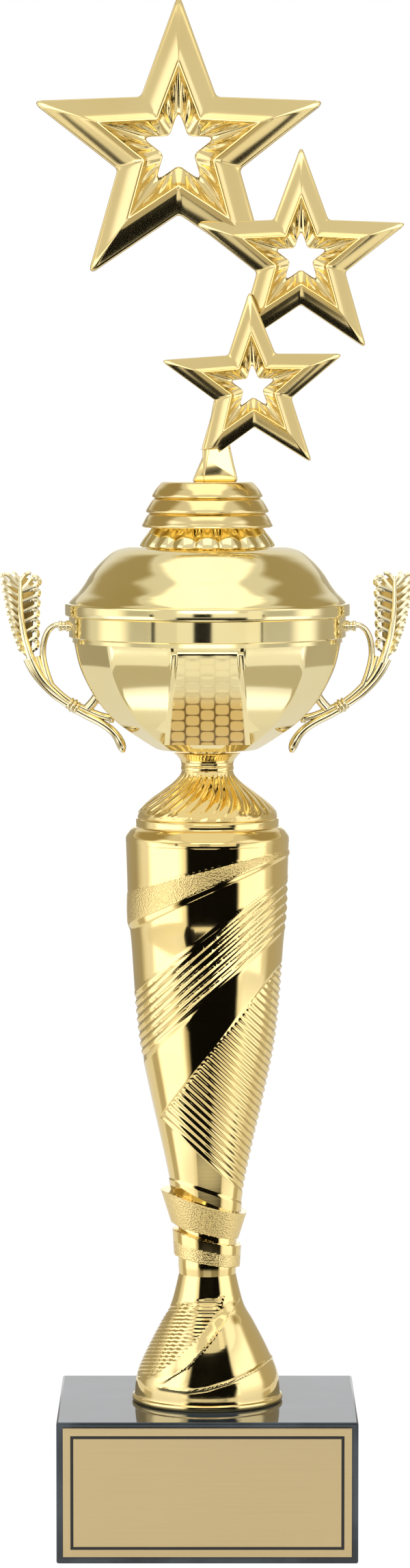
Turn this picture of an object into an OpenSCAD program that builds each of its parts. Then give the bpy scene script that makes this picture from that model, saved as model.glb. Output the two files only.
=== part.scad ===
// Star trophy: a stone block, a clamped stack of foot, wraps, column, shoulder and bowl,
// two leaf handles, and a loose lid that carries a figure of three hollow stars.
// Origin: middle of the underside of the pads. +Z up, the plate faces -Y.

/* [Base block] */
// Width of the stone block
block_w = 76.2; // [64:0.1:92]
// Depth of the stone block
block_d = 63.5; // [54:0.1:80]
// Height of the stone block
block_h = 36; // [28:0.1:50]
// Chamfer round the block's edges
block_edge = 0.6; // [0.3:0.1:1.5]
// Diameter of a felt pad
pad_d = 10; // [6:0.5:14]
// Thickness of a felt pad
pad_t = 0.8; // [0.5:0.1:3]
// Diameter of the recess under the block
recess_d = 24; // [19:0.5:30]
// Depth of the recess under the block
recess_h = 14; // [9:0.5:18]

/* [Engraving plate] */
// Width of the plate
plate_w = 72.8; // [50:0.1:92]
// Height of the plate
plate_h = 33.9; // [20:0.1:50]
// Thickness of the plate
plate_t = 0.8; // [0.5:0.1:1.5]
// Distance from the plate's edge to its border line
border_inset = 2.3; // [1.5:0.1:5]
// Width of the border line
border_w = 0.7; // [0.4:0.1:1.5]
// Thickness of the tape behind the plate
tape_t = 0.4; // [0.2:0.1:1]

/* [Tie rod and nuts] */
// Diameter of the tie rod and of the figure screw
rod_d = 5; // [4:0.5:6]
// Radial clearance of the holes that the rod and the screws pass through
hole_fit = 0.1; // [0.05:0.05:0.3]
// Radial clearance that stands for a thread
thread_fit = 0.03; // [0.01:0.01:0.05]
// Nut size across its flats
nut_w = 8; // [7:0.5:10]
// Nut height
nut_h = 4; // [3:0.5:5]
// Washer diameter
washer_d = 15; // [12:0.5:18]
// Washer thickness
washer_t = 1.2; // [0.8:0.1:2]

/* [Foot and wraps] */
// Diameter of the foot's rim
foot_d = 38.8; // [34:0.1:50]
// Height of the foot bell
foot_h = 32.8; // [27:0.1:42]
// Diameter of the waist between foot and wraps
waist_d = 14.6; // [13:0.1:18]
// Height of the collar at its middle
wrap_h = 18.7; // [17:0.1:24]
// Diameter of the upper wrap at its top edge
wrap_d = 21.8; // [20.5:0.1:26]
// Slant of the collar's top face
wrap_slant = 17; // [10:0.5:20]

/* [Column and shoulder] */
// Largest diameter of the column body
column_d = 41.8; // [34:0.1:50]
// Height of the column body at its middle
column_h = 92.3; // [76:0.1:112]
// Wall of the foot, the column and the shoulder
shell_t = 1.8; // [1.4:0.1:2.4]
// Diameter of the neck
neck_d = 13.3; // [12:0.1:16]
// Height of the shoulder with its neck and dish
shoulder_h = 23.1; // [19:0.1:28]
// Number of slanting flutes on the shoulder
flutes = 28; // [20:2:32]
// Length of the plug that fits in the column
plug_h = 5; // [3:0.5:8]

/* [Bowl and lid] */
// Diameter of the bowl's rim band
bowl_d = 70.8; // [60:0.1:85]
// Height of the bowl
bowl_h = 34.9; // [29:0.1:42]
// Wall of the bowl and of the lid
bowl_t = 1.7; // [1.5:0.1:2.2]
// Height of the plain rim band
band_h = 5.4; // [5:0.1:7]
// Number of flat panels round the bowl
panels = 12; // [8:4:12]
// How far the lid's flange stands out past the rim
flange_lip = 1; // [0.5:0.1:2]
// Height of the lid's flange
flange_h = 3.2; // [2.5:0.1:4]
// Height of the lid from the rim to its top
lid_h = 17.8; // [15:0.1:22]
// Depth of the lid's locating ring
ring_h = 3; // [2:0.1:4]
// Radial clearance between the locating ring and the bowl
ring_fit = 0.35; // [0.3:0.05:0.6]

/* [Handles] */
// Thickness of a handle's stem at its knot
stem_d = 2.8; // [2.4:0.1:3.4]
// Length of the leaf
leaf_l = 24; // [20:0.1:30]
// Width of the leaf
leaf_w = 10.6; // [8:0.1:12]
// Thickness of the leaf
leaf_t = 1.6; // [1.2:0.1:2.2]
// Diameter of a handle screw
pin_d = 1.6; // [1.4:0.1:1.8]
// Length of a handle screw
pin_l = 4.2; // [3.6:0.1:4.6]

/* [Figure] */
// Diameter of the figure base
figure_d = 33.4; // [28:0.1:40]
// Height of the figure base
figure_h = 11.6; // [10:0.1:15]
// Height of the fluted collar under the figure base
collar_h = 4.6; // [3.5:0.1:6]
// Tip radius of the large star
large_r = 37.9; // [31:0.1:45]
// Tip radius of the medium star
medium_r = 27.4; // [23:0.1:33]
// Tip radius of the small star
small_r = 23.6; // [20:0.1:28]
// Thickness of a star, as a share of its tip radius
star_depth = 0.27; // [0.22:0.01:0.32]
// Thickness of the leg
leg_t = 4.6; // [3.5:0.1:6]

/* [Hidden] */

// Levels of the stack
block_top = pad_t + block_h;
foot_top = block_top + foot_h;
wrap_top = foot_top + wrap_h;
column_top = wrap_top + column_h;
bowl_z = column_top + shoulder_h;
rim_z = bowl_z + bowl_h;
lid_top = rim_z + lid_h;
figure_z = lid_top + collar_h;
leg_z = figure_z + figure_h;

// Derived radii
rod_r = rod_d / 2;
bore_r = rod_r + hole_fit;
column_r = column_d / 2;
neck_r = neck_d / 2;
waist_r = waist_d / 2;
bowl_r = bowl_d / 2;
figure_r = figure_d / 2;
rim_in_r = bowl_r - bowl_t;
flange_r = bowl_r + flange_lip;
nut_r = nut_w / 2 / cos(30);
past = 1;

// Bowl: foot boss, floor and groove
boss_h = 0.8;
boss_r = 4.7;
floor_t = 2.6;
groove_h = 1.3;
groove_in = 0.9;
panel_h = bowl_h - band_h - groove_h - boss_h;
panel_turn = 180 / panels;

// Outlines as [share of the radius, share of the height]
foot_line = [[0.965, 0.06], [0.93, 0.22], [0.785, 0.42], [0.61, 0.62], [0.48, 0.76],
    [waist_d / foot_d, 1]];
column_line = [[0.39, -0.05], [0.455, 0.05], [0.562, 0.166], [0.7, 0.303], [0.823, 0.441],
    [0.89, 0.579], [0.933, 0.716], [0.974, 0.81], [0.986, 0.905], [1, 1]];
bowl_line = [[0.372, 0], [0.495, 0.095], [0.668, 0.247], [0.788, 0.4], [0.873, 0.553],
    [0.958, 0.778], [1, 1]];
lid_line = [[0.965, 0.02], [0.9, 0.15], [0.82, 0.44], [0.725, 0.78], [0.62, 0.955], [0.5, 1]];

function mix(a, b, t) = a + (b - a) * t;
// Smooth curve through the points of a line, with n steps between two points
function spline(p, n) = [for (i = [0 : len(p) - 2], k = [0 : n - 1])
    let (t = k / n, a = p[max(i - 1, 0)], b = p[i], c = p[i + 1], d = p[min(i + 2, len(p) - 1)])
    0.5 * (2 * b + (c - a) * t + (2 * a - 5 * b + 4 * c - d) * t * t
        + (3 * b - a - 3 * c + d) * t * t * t), p[len(p) - 1]];
function stretched(p, r, h) = [for (q = p) [q.x * r, q.y * h]];
function unit(v) = v / norm(v);
// The same line, moved towards the axis by a wall t
function inset(p, t) = [for (i = [0 : len(p) - 1])
    let (v = unit(p[min(i + 1, len(p) - 1)] - p[max(i - 1, 0)]))
    p[i] + t * [-abs(v.y), v.x]];
function reversed(p) = [for (i = [len(p) - 1 : -1 : 0]) p[i]];

foot_skin = spline(stretched(foot_line, foot_d / 2, foot_h), 4);
column_skin = spline(stretched(column_line, column_r, column_h), 3);
panel_r = (bowl_r - groove_in / 2) * cos(panel_turn);
bowl_skin = spline(stretched(bowl_line, panel_r, panel_h), 2);
lid_skin = spline(stretched(lid_line, flange_r, lid_h - flange_h), 3);
column_hollow = [for (q = inset(column_skin, shell_t))
    if (q.y > 0.12 * column_h && q.y < column_h - plug_h) q];
mouth_r = column_hollow[len(column_hollow) - 1].x;

// Handle fixings on the bowl
peg_z = rim_z - band_h / 2;
lug_i = (len(bowl_skin) + 1) / 2;
lug_at = bowl_skin[lug_i] + [0, bowl_z + boss_h];
lug_dir = unit([bowl_skin[lug_i + 1].y - bowl_skin[lug_i - 1].y,
    bowl_skin[lug_i - 1].x - bowl_skin[lug_i + 1].x]);
lug_turn = 90 - atan2(lug_dir.y, lug_dir.x);
peg_l = 2.6;
peg_r = 1.5;
lug_l = 4.4;
head_r = 1.5 * pin_d / 1.6 + 0.1;
head_h = 0.8;

// One ring of a star: five round tips and five notches, front view, turned by turn
function star_ring(tip, notch, round, turn) = [for (k = [0 : 4], j = [0 : 5])
    let (a = 90 + turn + 72 * k, s = j < 3 ? j - 1 : j - 4,
        c = j < 3 ? tip - round : notch, spread = j < 3 ? round : round * 0.4,
        b = j < 3 ? a : a + 36, w = j < 3 ? 75 : 30, sgn = j < 3 ? 1 : -1)
    c * [cos(b), sin(b)] + (j < 3 ? spread : 0) * [cos(b + w * s), sin(b + w * s)]
        + (j < 3 ? 0 : spread * s) * [-sin(b), cos(b)] * 1.2];

// A ring shaped star: bevelled outside, fluted inside and open in the middle
module star(tip, turn) {
    notch = 0.43;
    crest = 0.565;
    hole = 0.228;
    edge_t = 0.075 * tip;
    half_t = star_depth * tip / 2;
    hole_t = 0.055 * tip;
    round = 0.03 * tip;
    rings = [
        [star_ring(tip, notch * tip, round, turn), edge_t],
        [star_ring(crest * tip, crest * notch * tip, round * 0.3, turn), half_t],
        [star_ring(hole * tip, 0.46 * hole * tip, round, turn), hole_t],
        [star_ring(hole * tip, 0.46 * hole * tip, round, turn), -hole_t],
        [star_ring(crest * tip, crest * notch * tip, round * 0.3, turn), -half_t],
        [star_ring(tip, notch * tip, round, turn), -edge_t]];
    n = len(rings[0][0]);
    points = [for (g = rings, q = g[0]) [q.x, -g[1], q.y]];
    faces = [for (g = [0 : 5], i = [0 : n - 1], half = [0 : 1])
        let (a = g * n + i, b = g * n + (i + 1) % n, h = (g + 1) % 6,
            c = h * n + (i + 1) % n, d = h * n + i)
        half == 0 ? [a, d, b] : [b, d, c]];
    polyhedron(points, faces);
}

// A round bar along a line in the XZ plane, with its own radius at each point
module bar(line, radii, sides = 12) {
    n = len(line);
    points = [for (i = [0 : n - 1], k = [0 : sides - 1])
        let (v = unit(line[min(i + 1, n - 1)] - line[max(i - 1, 0)]), a = 360 * k / sides,
            q = line[i] + radii[i] * cos(a) * [v.y, -v.x])
        [q.x, radii[i] * sin(a), q.y]];
    walls = [for (i = [0 : n - 2], k = [0 : sides - 1], half = [0 : 1])
        let (a = i * sides + k, b = i * sides + (k + 1) % sides)
        half == 0 ? [a, a + sides, b] : [b, a + sides, b + sides]];
    ends = [[for (k = [0 : sides - 1]) k],
        [for (k = [sides - 1 : -1 : 0]) (n - 1) * sides + k]];
    polyhedron(points, concat(walls, ends));
}

// A turned body with waves round it: line gives [radius, height, wave depth, twist]
module waved(line, waves, steps) {
    n = waves * steps;
    m = len(line);
    points = [for (q = line, k = [0 : n - 1])
        let (a = 360 * k / n, r = q[0] - q[2] * (1 - abs(cos(waves * a / 2))))
        [r * cos(a + q[3]), r * sin(a + q[3]), q[1]]];
    walls = [for (i = [0 : m - 2], k = [0 : n - 1], half = [0 : 1])
        let (a = i * n + k, b = i * n + (k + 1) % n)
        half == 0 ? [a, a + n, b] : [b, a + n, b + n]];
    ends = [[for (k = [0 : n - 1]) k], [for (k = [n - 1 : -1 : 0]) (m - 1) * n + k]];
    polyhedron(points, concat(walls, ends));
}

module turned(line) {
    rotate_extrude($fn = 96) polygon(line);
}

module bore(r, z0, z1) {
    translate([0, 0, z0]) cylinder(r = r, h = z1 - z0, $fn = 48);
}

module washer(outer, z) {
    difference() {
        translate([0, 0, z]) cylinder(r = outer, h = washer_t, $fn = 64);
        bore(bore_r, z - past, z + washer_t + past);
    }
}

module nut(z) {
    difference() {
        translate([0, 0, z]) cylinder(r = nut_r, h = nut_h, $fn = 6);
        bore(rod_r + thread_fit, z - past, z + nut_h + past);
    }
}

// Everything above or below a plane that slants down to the right
module half_space(z, slant, up) {
    size = 4 * column_d;
    translate([0, 0, z]) rotate([0, slant, 0])
        translate([0, 0, up ? size / 2 : -size / 2]) cube(size, center = true);
}

// Base

module pad(sx, sy) {
    color("#2b2b2b")
    translate([sx * (block_w / 2 - pad_d), sy * (block_d / 2 - pad_d), 0])
        cylinder(d = pad_d, h = pad_t, $fn = 48);
}

module stone_block() {
    color("#23272b")
    difference() {
        translate([0, 0, pad_t]) chamfered(block_w, block_d, block_h, block_edge);
        bore(recess_d / 2, pad_t - past, pad_t + recess_h);
        bore(bore_r, pad_t, block_top + past);
    }
}

module chamfered(w, d, h, c) {
    intersection() {
        translate([0, 0, h / 2]) rotate([90, 0, 0])
            linear_extrude(d, center = true) cut_corners(w, h, c);
        translate([0, 0, h / 2]) rotate([90, 0, 90])
            linear_extrude(w, center = true) cut_corners(d, h, c);
        linear_extrude(h) cut_corners(w, d, c);
    }
}

module cut_corners(w, h, c) {
    polygon([for (s = [[1, 1], [-1, 1], [-1, -1], [1, -1]], k = [0 : 1])
        let (flip = s.x * s.y > 0 ? 1 - k : k)
        [s.x * (w / 2 - c * (1 - flip)), s.y * (h / 2 - c * flip)]]);
}

// Engraving plate on the front, with a sunk border line
module engraving_plate() {
    sunk = plate_t / 4;
    inner_w = plate_w - 2 * border_inset;
    inner_h = plate_h - 2 * border_inset;
    color("#cdb586")
    translate([0, -block_d / 2 - tape_t, pad_t + block_h / 2]) rotate([90, 0, 0])
        difference() {
            linear_extrude(plate_t) square([plate_w, plate_h], center = true);
            translate([0, 0, plate_t - sunk]) linear_extrude(sunk + past)
                difference() {
                    square([inner_w, inner_h], center = true);
                    square([inner_w - 2 * border_w, inner_h - 2 * border_w], center = true);
                }
        }
}

module plate_tape() {
    margin = 3;
    color("#e8e4d8")
    translate([0, -block_d / 2, pad_t + block_h / 2]) rotate([90, 0, 0])
        linear_extrude(tape_t) square([plate_w - 2 * margin, plate_h - 2 * margin], center = true);
}

// Tie rod with its nuts

recess_top = pad_t + recess_h;
bowl_floor = bowl_z + boss_h + floor_t;
rod_past_nut = 2;
rod_z0 = recess_top - washer_t - nut_h - rod_past_nut;
rod_z1 = bowl_floor + washer_t + nut_h + rod_past_nut;

module base_washer() {
    wider = 1.2;
    color("#b8bcc0") washer(wider * washer_d / 2, recess_top - washer_t);
}

module base_nut() {
    color("#b8bcc0") nut(recess_top - washer_t - nut_h);
}

module tie_rod() {
    end_cut = rod_r / 5;
    color("#a9adb1")
    turned([[0, rod_z0], [rod_r - end_cut, rod_z0], [rod_r, rod_z0 + end_cut],
        [rod_r, rod_z1 - end_cut], [rod_r - end_cut, rod_z1], [0, rod_z1]]);
}

module bowl_washer() {
    color("#b8bcc0") washer(washer_d / 2, bowl_floor);
}

module bowl_nut() {
    color("#b8bcc0") nut(bowl_floor + washer_t);
}

// Foot

module foot_bell() {
    rim = foot_d / 2;
    rim_h = 0.045 * foot_h;
    hollow = [for (q = inset(foot_skin, shell_t)) if (q.y < 0.78 * foot_h) q];
    last = hollow[len(hollow) - 1];
    color("#d8b65c")
    translate([0, 0, block_top])
    difference() {
        turned(concat([[0, 0], [rim - rim_h / 3, 0], [rim, rim_h / 3], [rim, rim_h * 0.8],
            [rim - rim_h / 3, rim_h * 1.1]], foot_skin, [[0, foot_h]]));
        turned(concat([[0, -past], [rim - 2 * shell_t, -past], [hollow[0].x, hollow[0].y]],
            hollow, [[0, last.y]]));
        bore(bore_r, 0, foot_h + past);
    }
}

// Wraps: a hub with two flaring bands between slanting planes
module wrap_collar() {
    reach = wrap_d / 2 * tan(wrap_slant);
    upper_z = wrap_top - 0.41 * wrap_h;
    lower_top = upper_z - 0.09 * wrap_h;
    lower_z = foot_top + 0.18 * wrap_h;
    color("#d8b65c")
    difference() {
        union() {
            bore(waist_r, foot_top, wrap_top + reach);
            slant_band(waist_r * 1.04, wrap_d / 2 + 0.5, upper_z - reach / 2, wrap_top + reach,
                upper_z, wrap_slant * 0.83, wrap_top, wrap_slant);
            slant_band(waist_r * 1.12, waist_r * 1.22, foot_top, upper_z,
                lower_z, wrap_slant * 0.62, lower_top, wrap_slant * 0.81);
        }
        half_space(wrap_top, wrap_slant, true);
        bore(bore_r, foot_top - past, wrap_top + wrap_d);
    }
}

// A flaring band from radius r0 at z0 to r1 at z1, kept between two slanting planes
module slant_band(r0, r1, z0, z1, low_z, low_slant, high_z, high_slant) {
    difference() {
        translate([0, 0, z0]) cylinder(r1 = r0, r2 = r1, h = z1 - z0, $fn = 96);
        half_space(low_z, low_slant, false);
        half_space(high_z, high_slant, true);
    }
}

// Column body: a shell with a solid foot that stands on the slanting joint
module column_body() {
    first = column_hollow[0];
    color("#e0c068")
    difference() {
        translate([0, 0, wrap_top])
            turned(concat([[0, column_skin[0].y]], column_skin, [[0, column_h]]));
        translate([0, 0, wrap_top])
            turned(concat([[0, first.y]], column_hollow, [[mouth_r, column_h + past],
                [0, column_h + past]]));
        half_space(wrap_top, wrap_slant, false);
        bore(bore_r, foot_top, column_top);
    }
}

// Fluted shoulder with the neck and the dish under the bowl
module shoulder_cap() {
    ledge_h = 0.075 * shoulder_h;
    step_h = 0.19 * shoulder_h;
    flute_z0 = 0.275 * shoulder_h;
    flute_z1 = 0.74 * shoulder_h;
    flute_r = 0.855 * column_r;
    top_r = neck_r - 0.15;
    dish_r = neck_r * 1.28;
    depth = 0.75;
    twist = 22;
    plug_r = mouth_r - hole_fit;
    steps = 7;
    color("#e0c068")
    translate([0, 0, column_top])
    difference() {
        union() {
            turned([[0, -plug_h], [plug_r, -plug_h], [plug_r, 0], [column_r, 0],
                [column_r, ledge_h], [0.935 * column_r, step_h * 0.85], [0.87 * column_r, step_h],
                [0.87 * column_r, flute_z0], [0, flute_z0]]);
            waved([for (i = [0 : steps]) let (t = i / steps)
                [mix(flute_r, top_r, 0.5 - 0.5 * cos(180 * pow(t, 0.92))),
                    mix(flute_z0 - 0.4, flute_z1 + 0.4, t), depth * sin(180 * mix(0.12, 0.95, t)),
                    twist * t]], flutes, 4);
            turned([[0, flute_z1 - 0.1], [neck_r, flute_z1 - 0.1], [neck_r, shoulder_h * 0.88],
                [neck_r * 1.12, shoulder_h * 0.95], [dish_r, shoulder_h], [0, shoulder_h]]);
        }
        turned([[0, -plug_h - past], [plug_r - shell_t, -plug_h - past],
            [plug_r - shell_t, 0.1 * shoulder_h], [neck_r * 0.75, 0.6 * shoulder_h],
            [0, 0.6 * shoulder_h]]);
        bore(bore_r, 0, shoulder_h + past);
    }
}

// Bowl and handles

module bowl_shape(line, top) {
    translate([0, 0, boss_h]) rotate([0, 0, panel_turn])
        rotate_extrude($fn = panels)
            polygon(concat([[0, line[0].y]], [for (q = line) [q.x / cos(panel_turn), q.y]],
                [[line[len(line) - 1].x / cos(panel_turn), top], [0, top]]));
}

module bowl() {
    groove_r = bowl_r - groove_in;
    band_z = bowl_h - band_h;
    inside = [for (q = inset(bowl_skin, bowl_t)) if (q.y > floor_t) q];
    start = [inside[0].x - 1, floor_t];
    color("#ecd992")
    difference() {
        translate([0, 0, bowl_z])
        difference() {
            union() {
                bore(boss_r, 0, boss_h + past);
                bowl_shape(bowl_skin, panel_h);
                turned([[0, band_z - groove_h - 0.2], [groove_r, band_z - groove_h - 0.2],
                    [groove_r, band_z - 0.3], [bowl_r, band_z], [bowl_r, bowl_h], [0, bowl_h]]);
            }
            bowl_shape(concat([start], inside), panel_h);
            bore(rim_in_r, band_z - groove_h - 0.5, bowl_h + past);
            bore(bore_r, -past, boss_h + floor_t + past);
        }
        for (side = [0, 180], place = [0, 1]) at_fixing(side, place) screw_hole();
    }
}

// Places a child on a handle fixing, z along the screw and out of the wall
module at_fixing(side, place) {
    rotate([0, 0, side])
        if (place == 1) translate([bowl_r, 0, peg_z]) rotate([0, 90, 0]) children();
        else translate([lug_at.x, 0, lug_at.y]) rotate([0, lug_turn, 0]) children();
}

// Hole through the bowl's wall with a countersink on the inside
module screw_hole() {
    translate([0, 0, -2 * bowl_t]) cylinder(d = pin_d + 2 * hole_fit, h = 3 * bowl_t, $fn = 32);
    translate([0, 0, -bowl_t]) mirror([0, 0, 1]) cylinder(r = head_r + hole_fit, h = 2, $fn = 32);
    translate([0, 0, -bowl_t])
        cylinder(r1 = head_r + hole_fit, r2 = pin_d / 2 + hole_fit, h = head_h, $fn = 32);
}

module screw(side, place) {
    color("#b8bcc0")
    at_fixing(side, place) translate([0, 0, -bowl_t])
        turned([[0, 0], [head_r, 0], [pin_d / 2, head_h], [pin_d / 2, pin_l], [0, pin_l]]);
}

// Handle, drawn for the right side: stem, branch, knot and leaf in the XZ plane
module handle(side) {
    stem_r = stem_d / 2;
    top = [bowl_r, peg_z];
    low = lug_at + lug_dir * lug_l;
    branch = spline([top + [peg_l - 1, 0], top + [3.2, 0.5], top + [4.6, -0.3], top + [5.7, -1.9],
        top + [6.2, -5.7], top + [5.7, -10.3], top + [4.5, -13.4], top + [3.1, -16.2]], 3);
    root = top + [9.3, -9.6];
    stem = spline([root, top + [7.9, -13.1], top + [4.4, -16.2], low + [6, 2.7], low + [2.7, 0.6],
        low + [-0.3, -1], low + [-3.8, -2.7], low + [-6.7, -4.6], low + [-8.8, -6.7],
        low + [-9.7, -8.8], low + [-10, -10.6]], 3);
    last = len(stem) - 1;
    knot = low + [2.7, 0.6];
    color("#e6cf8c")
    rotate([0, 0, side])
    difference() {
        union() {
            bar(branch, [for (i = [0 : len(branch) - 1]) stem_r * (0.56 + 0.01 * i)], 10);
            bar(stem, [for (i = [0 : last])
                stem_r * (i < 6 ? 1.5 - 0.1 * i : i > last - 4 ? 0.9 : 0.85)]);
            translate([stem[last].x, 0, stem[last].y]) sphere(r = stem_r * 0.95, $fn = 24);
            translate([knot.x, 0, knot.y]) rotate([0, -114, 0])
                cylinder(r = stem_r * 1.12, h = 2.2, center = true, $fn = 32);
            leaf(root - [0.3, 1]);
            at_fixing(0, 1) cylinder(r = peg_r, h = peg_l, $fn = 32);
            at_fixing(0, 0) cylinder(r = peg_r, h = lug_l, $fn = 32);
        }
        for (place = [0, 1]) at_fixing(0, place)
            cylinder(r = pin_d / 2 + thread_fit, h = pin_l - bowl_t + 0.2, $fn = 32);
    }
}

// Leaf with scalloped edges and a middle rib, standing on its root
module leaf(root) {
    lobes = 6;
    lean = 6.5;
    steps = 36;
    crown = 0.86;
    half = [for (i = [0 : steps])
        let (t = i / steps, rise = sin(90 * min(1, t / crown)),
            cap = t < crown ? 1 : sqrt(1.04 - pow((t - crown) / (1 - crown), 2)))
        [leaf_w / 2 * mix(0.25, 1, rise) * cap * (0.86 + 0.14 * abs(sin(180 * lobes * t))),
            leaf_l * t]];
    outline = concat(half, reversed([for (q = half) [-q.x, q.y]]));
    rib = [for (i = [0 : 8]) [0, leaf_l * i / 8.6]];
    translate([root.x, 0, root.y]) rotate([0, lean, 0]) {
        rotate([90, 0, 0]) linear_extrude(leaf_t, center = true) polygon(outline);
        bar(rib, [for (i = [0 : 8]) mix(leaf_t * 0.85, leaf_t * 0.55, i / 8)], 8);
    }
}

// Lid with its collar and the figure's fixings

top_t = 2;

module lid() {
    ring_r = rim_in_r - ring_fit;
    hollow = [for (q = inset(lid_skin, bowl_t)) if (q.y < lid_h - flange_h - top_t) q];
    edge = 0.5;
    top = lid_h - flange_h;
    color("#ecd992")
    translate([0, 0, rim_z])
    difference() {
        union() {
            turned(concat([[0, 0], [flange_r - edge, 0], [flange_r, edge],
                [flange_r, flange_h - edge]],
                [for (q = lid_skin) q + [0, flange_h]], [[0, lid_h]]));
            bore(ring_r, -ring_h, flange_h);
        }
        turned(concat([[0, -ring_h - past], [ring_r - bowl_t, -ring_h - past],
            [ring_r - bowl_t, hollow[1].y + flange_h]],
            [for (i = [2 : len(hollow) - 1]) hollow[i] + [0, flange_h]],
            [[hollow[len(hollow) - 1].x - 2, lid_h - top_t], [0, lid_h - top_t]]));
        bore(bore_r, lid_h - top_t - past, lid_h + past);
    }
}

module fluted_collar() {
    low_r = figure_r * 1.03;
    high_r = figure_r * 0.84;
    lobes = 16;
    lobe_depth = 0.9;
    steps = 4;
    color("#e6cc78")
    translate([0, 0, lid_top])
    difference() {
        waved([for (i = [0 : steps]) let (t = i / steps)
            [mix(low_r, high_r, pow(t, 1.4)), collar_h * t, lobe_depth, 0]], lobes, 6);
        bore(bore_r, -past, collar_h + past);
    }
}

screw_top = figure_z + 0.68 * figure_h;
washer_z = lid_top - top_t - washer_t;

module figure_washer() {
    color("#b8bcc0") washer(washer_d / 2, washer_z);
}

module figure_screw() {
    cap_r = rod_d * 0.95;
    cap_h = rod_d * 0.6;
    color("#b8bcc0")
    turned([[0, washer_z - cap_h], [cap_r - 0.8, washer_z - cap_h], [cap_r, washer_z - cap_h + 0.8],
        [cap_r, washer_z], [rod_r, washer_z], [rod_r, screw_top - 0.5], [rod_r - 0.5, screw_top],
        [0, screw_top]]);
}

module figure_nut() {
    color("#b8bcc0") nut(figure_z);
}

// Figure base: three tiers, each with an undercut lip
module figure_base() {
    tiers = 3;
    tier_h = figure_h / (tiers + 0.15);
    lip_r = [figure_r, figure_r * 0.94, figure_r * 0.85];
    top_r = figure_r * 0.7;
    lip = 0.5;
    skin = [for (k = [0 : tiers - 1])
        let (z = k * tier_h, next = k == tiers - 1 ? top_r : lip_r[k + 1] - 0.7)
        for (q = [[lip_r[k] - lip, z], [lip_r[k], z + lip], [lip_r[k] - 0.15, z + 2 * lip],
            [mix(lip_r[k], next, 0.45), z + tier_h * 0.66], [next, z + tier_h]]) q];
    color("#d3b56a")
    difference() {
        translate([0, 0, figure_z])
            turned(concat([[0, 0]], skin, [[top_r, figure_h - 0.3], [top_r - 0.4, figure_h],
                [0, figure_h]]));
        translate([0, 0, figure_z - past])
            cylinder(r = nut_r + hole_fit, h = nut_h + hole_fit + past, $fn = 6);
        bore(bore_r, figure_z, screw_top + 0.4);
        tenon(hole_fit);
    }
}

// Stars, each at [x, z] from the middle of the figure base's top, with its own depth place
small_at = [0.489 * small_r, 1.017 * small_r];
medium_at = small_at + [0.445 * medium_r, 1.19 * medium_r];
large_at = medium_at + [-0.818 * large_r, 0.722 * large_r];
large_y = 2.2;
medium_y = 0;
small_y = -2.2;
small_turn = 2;
tenon_h = 3;
tenon_w = 6;

module placed_star(tip, at, y, turn) {
    translate([at.x, y, leg_z + at.y]) star(tip, turn);
}

// Tongue under the leg, glued into the figure base
module tenon(fit) {
    translate([small_at.x - 0.4 * small_r, 0, leg_z - tenon_h / 2])
        cube([tenon_w + 2 * fit, leg_t * 0.7 + 2 * fit, tenon_h + 2 * fit], center = true);
}

// Small star with its leg, which grows out of the lower left arm
module star_small() {
    s = small_r;
    leg = [[-0.615, -1.017], [-0.17, -1.017], [-0.22, -0.86], [-0.33, -0.52], [-0.2, -0.3],
        [-0.3, 0.0], [-0.42, -0.14]];
    color("#d3b56a")
    union() {
        difference() {
            placed_star(small_r, small_at, small_y, small_turn);
            translate([small_at.x - s, 0, leg_z + small_at.y - 1.3 * s])
                cube([2 * 0.62 * s, 2 * s, 2 * 0.62 * s], center = true);
        }
        translate([small_at.x, leg_t / 2, leg_z + small_at.y]) rotate([90, 0, 0])
            linear_extrude(leg_t) polygon([for (q = leg) q * s]);
        tenon(0);
    }
}

module star_medium() {
    color("#d3b56a")
    difference() {
        union() {
            placed_star(medium_r, medium_at, medium_y, 0);
            gusset();
        }
        placed_star(small_r, small_at, small_y, small_turn);
    }
}

// Web between the medium star and the arm of the large star
module gusset() {
    m = medium_r;
    web_t = 4;
    translate([medium_at.x, medium_y + 0.6 * web_t, leg_z + medium_at.y]) rotate([90, 0, 0])
        linear_extrude(web_t) polygon([for (q = [[-0.5, 0.28], [-0.42, 0.34], [-0.2, 0.34],
            [-0.12, 0.28], [-0.2, 0.14], [-0.45, 0.14]]) q * m]);
}

module star_large() {
    color("#d3b56a")
    difference() {
        placed_star(large_r, large_at, large_y, 0);
        placed_star(medium_r, medium_at, medium_y, 0);
        gusset();
    }
}

pad(-1, -1);  // pad_front_left
pad(1, -1);  // pad_front_right
pad(-1, 1);  // pad_back_left
pad(1, 1);  // pad_back_right
stone_block();
engraving_plate();
plate_tape();
base_washer();
base_nut();
tie_rod();
foot_bell();
wrap_collar();
column_body();
shoulder_cap();
bowl();
bowl_washer();
bowl_nut();
handle(180);  // handle_left
handle(0);  // handle_right
screw(180, 1);  // screw_left_upper
screw(180, 0);  // screw_left_lower
screw(0, 1);  // screw_right_upper
screw(0, 0);  // screw_right_lower
lid();
fluted_collar();
figure_washer();
figure_screw();
figure_nut();
figure_base();
star_small();
star_medium();
star_large();
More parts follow.
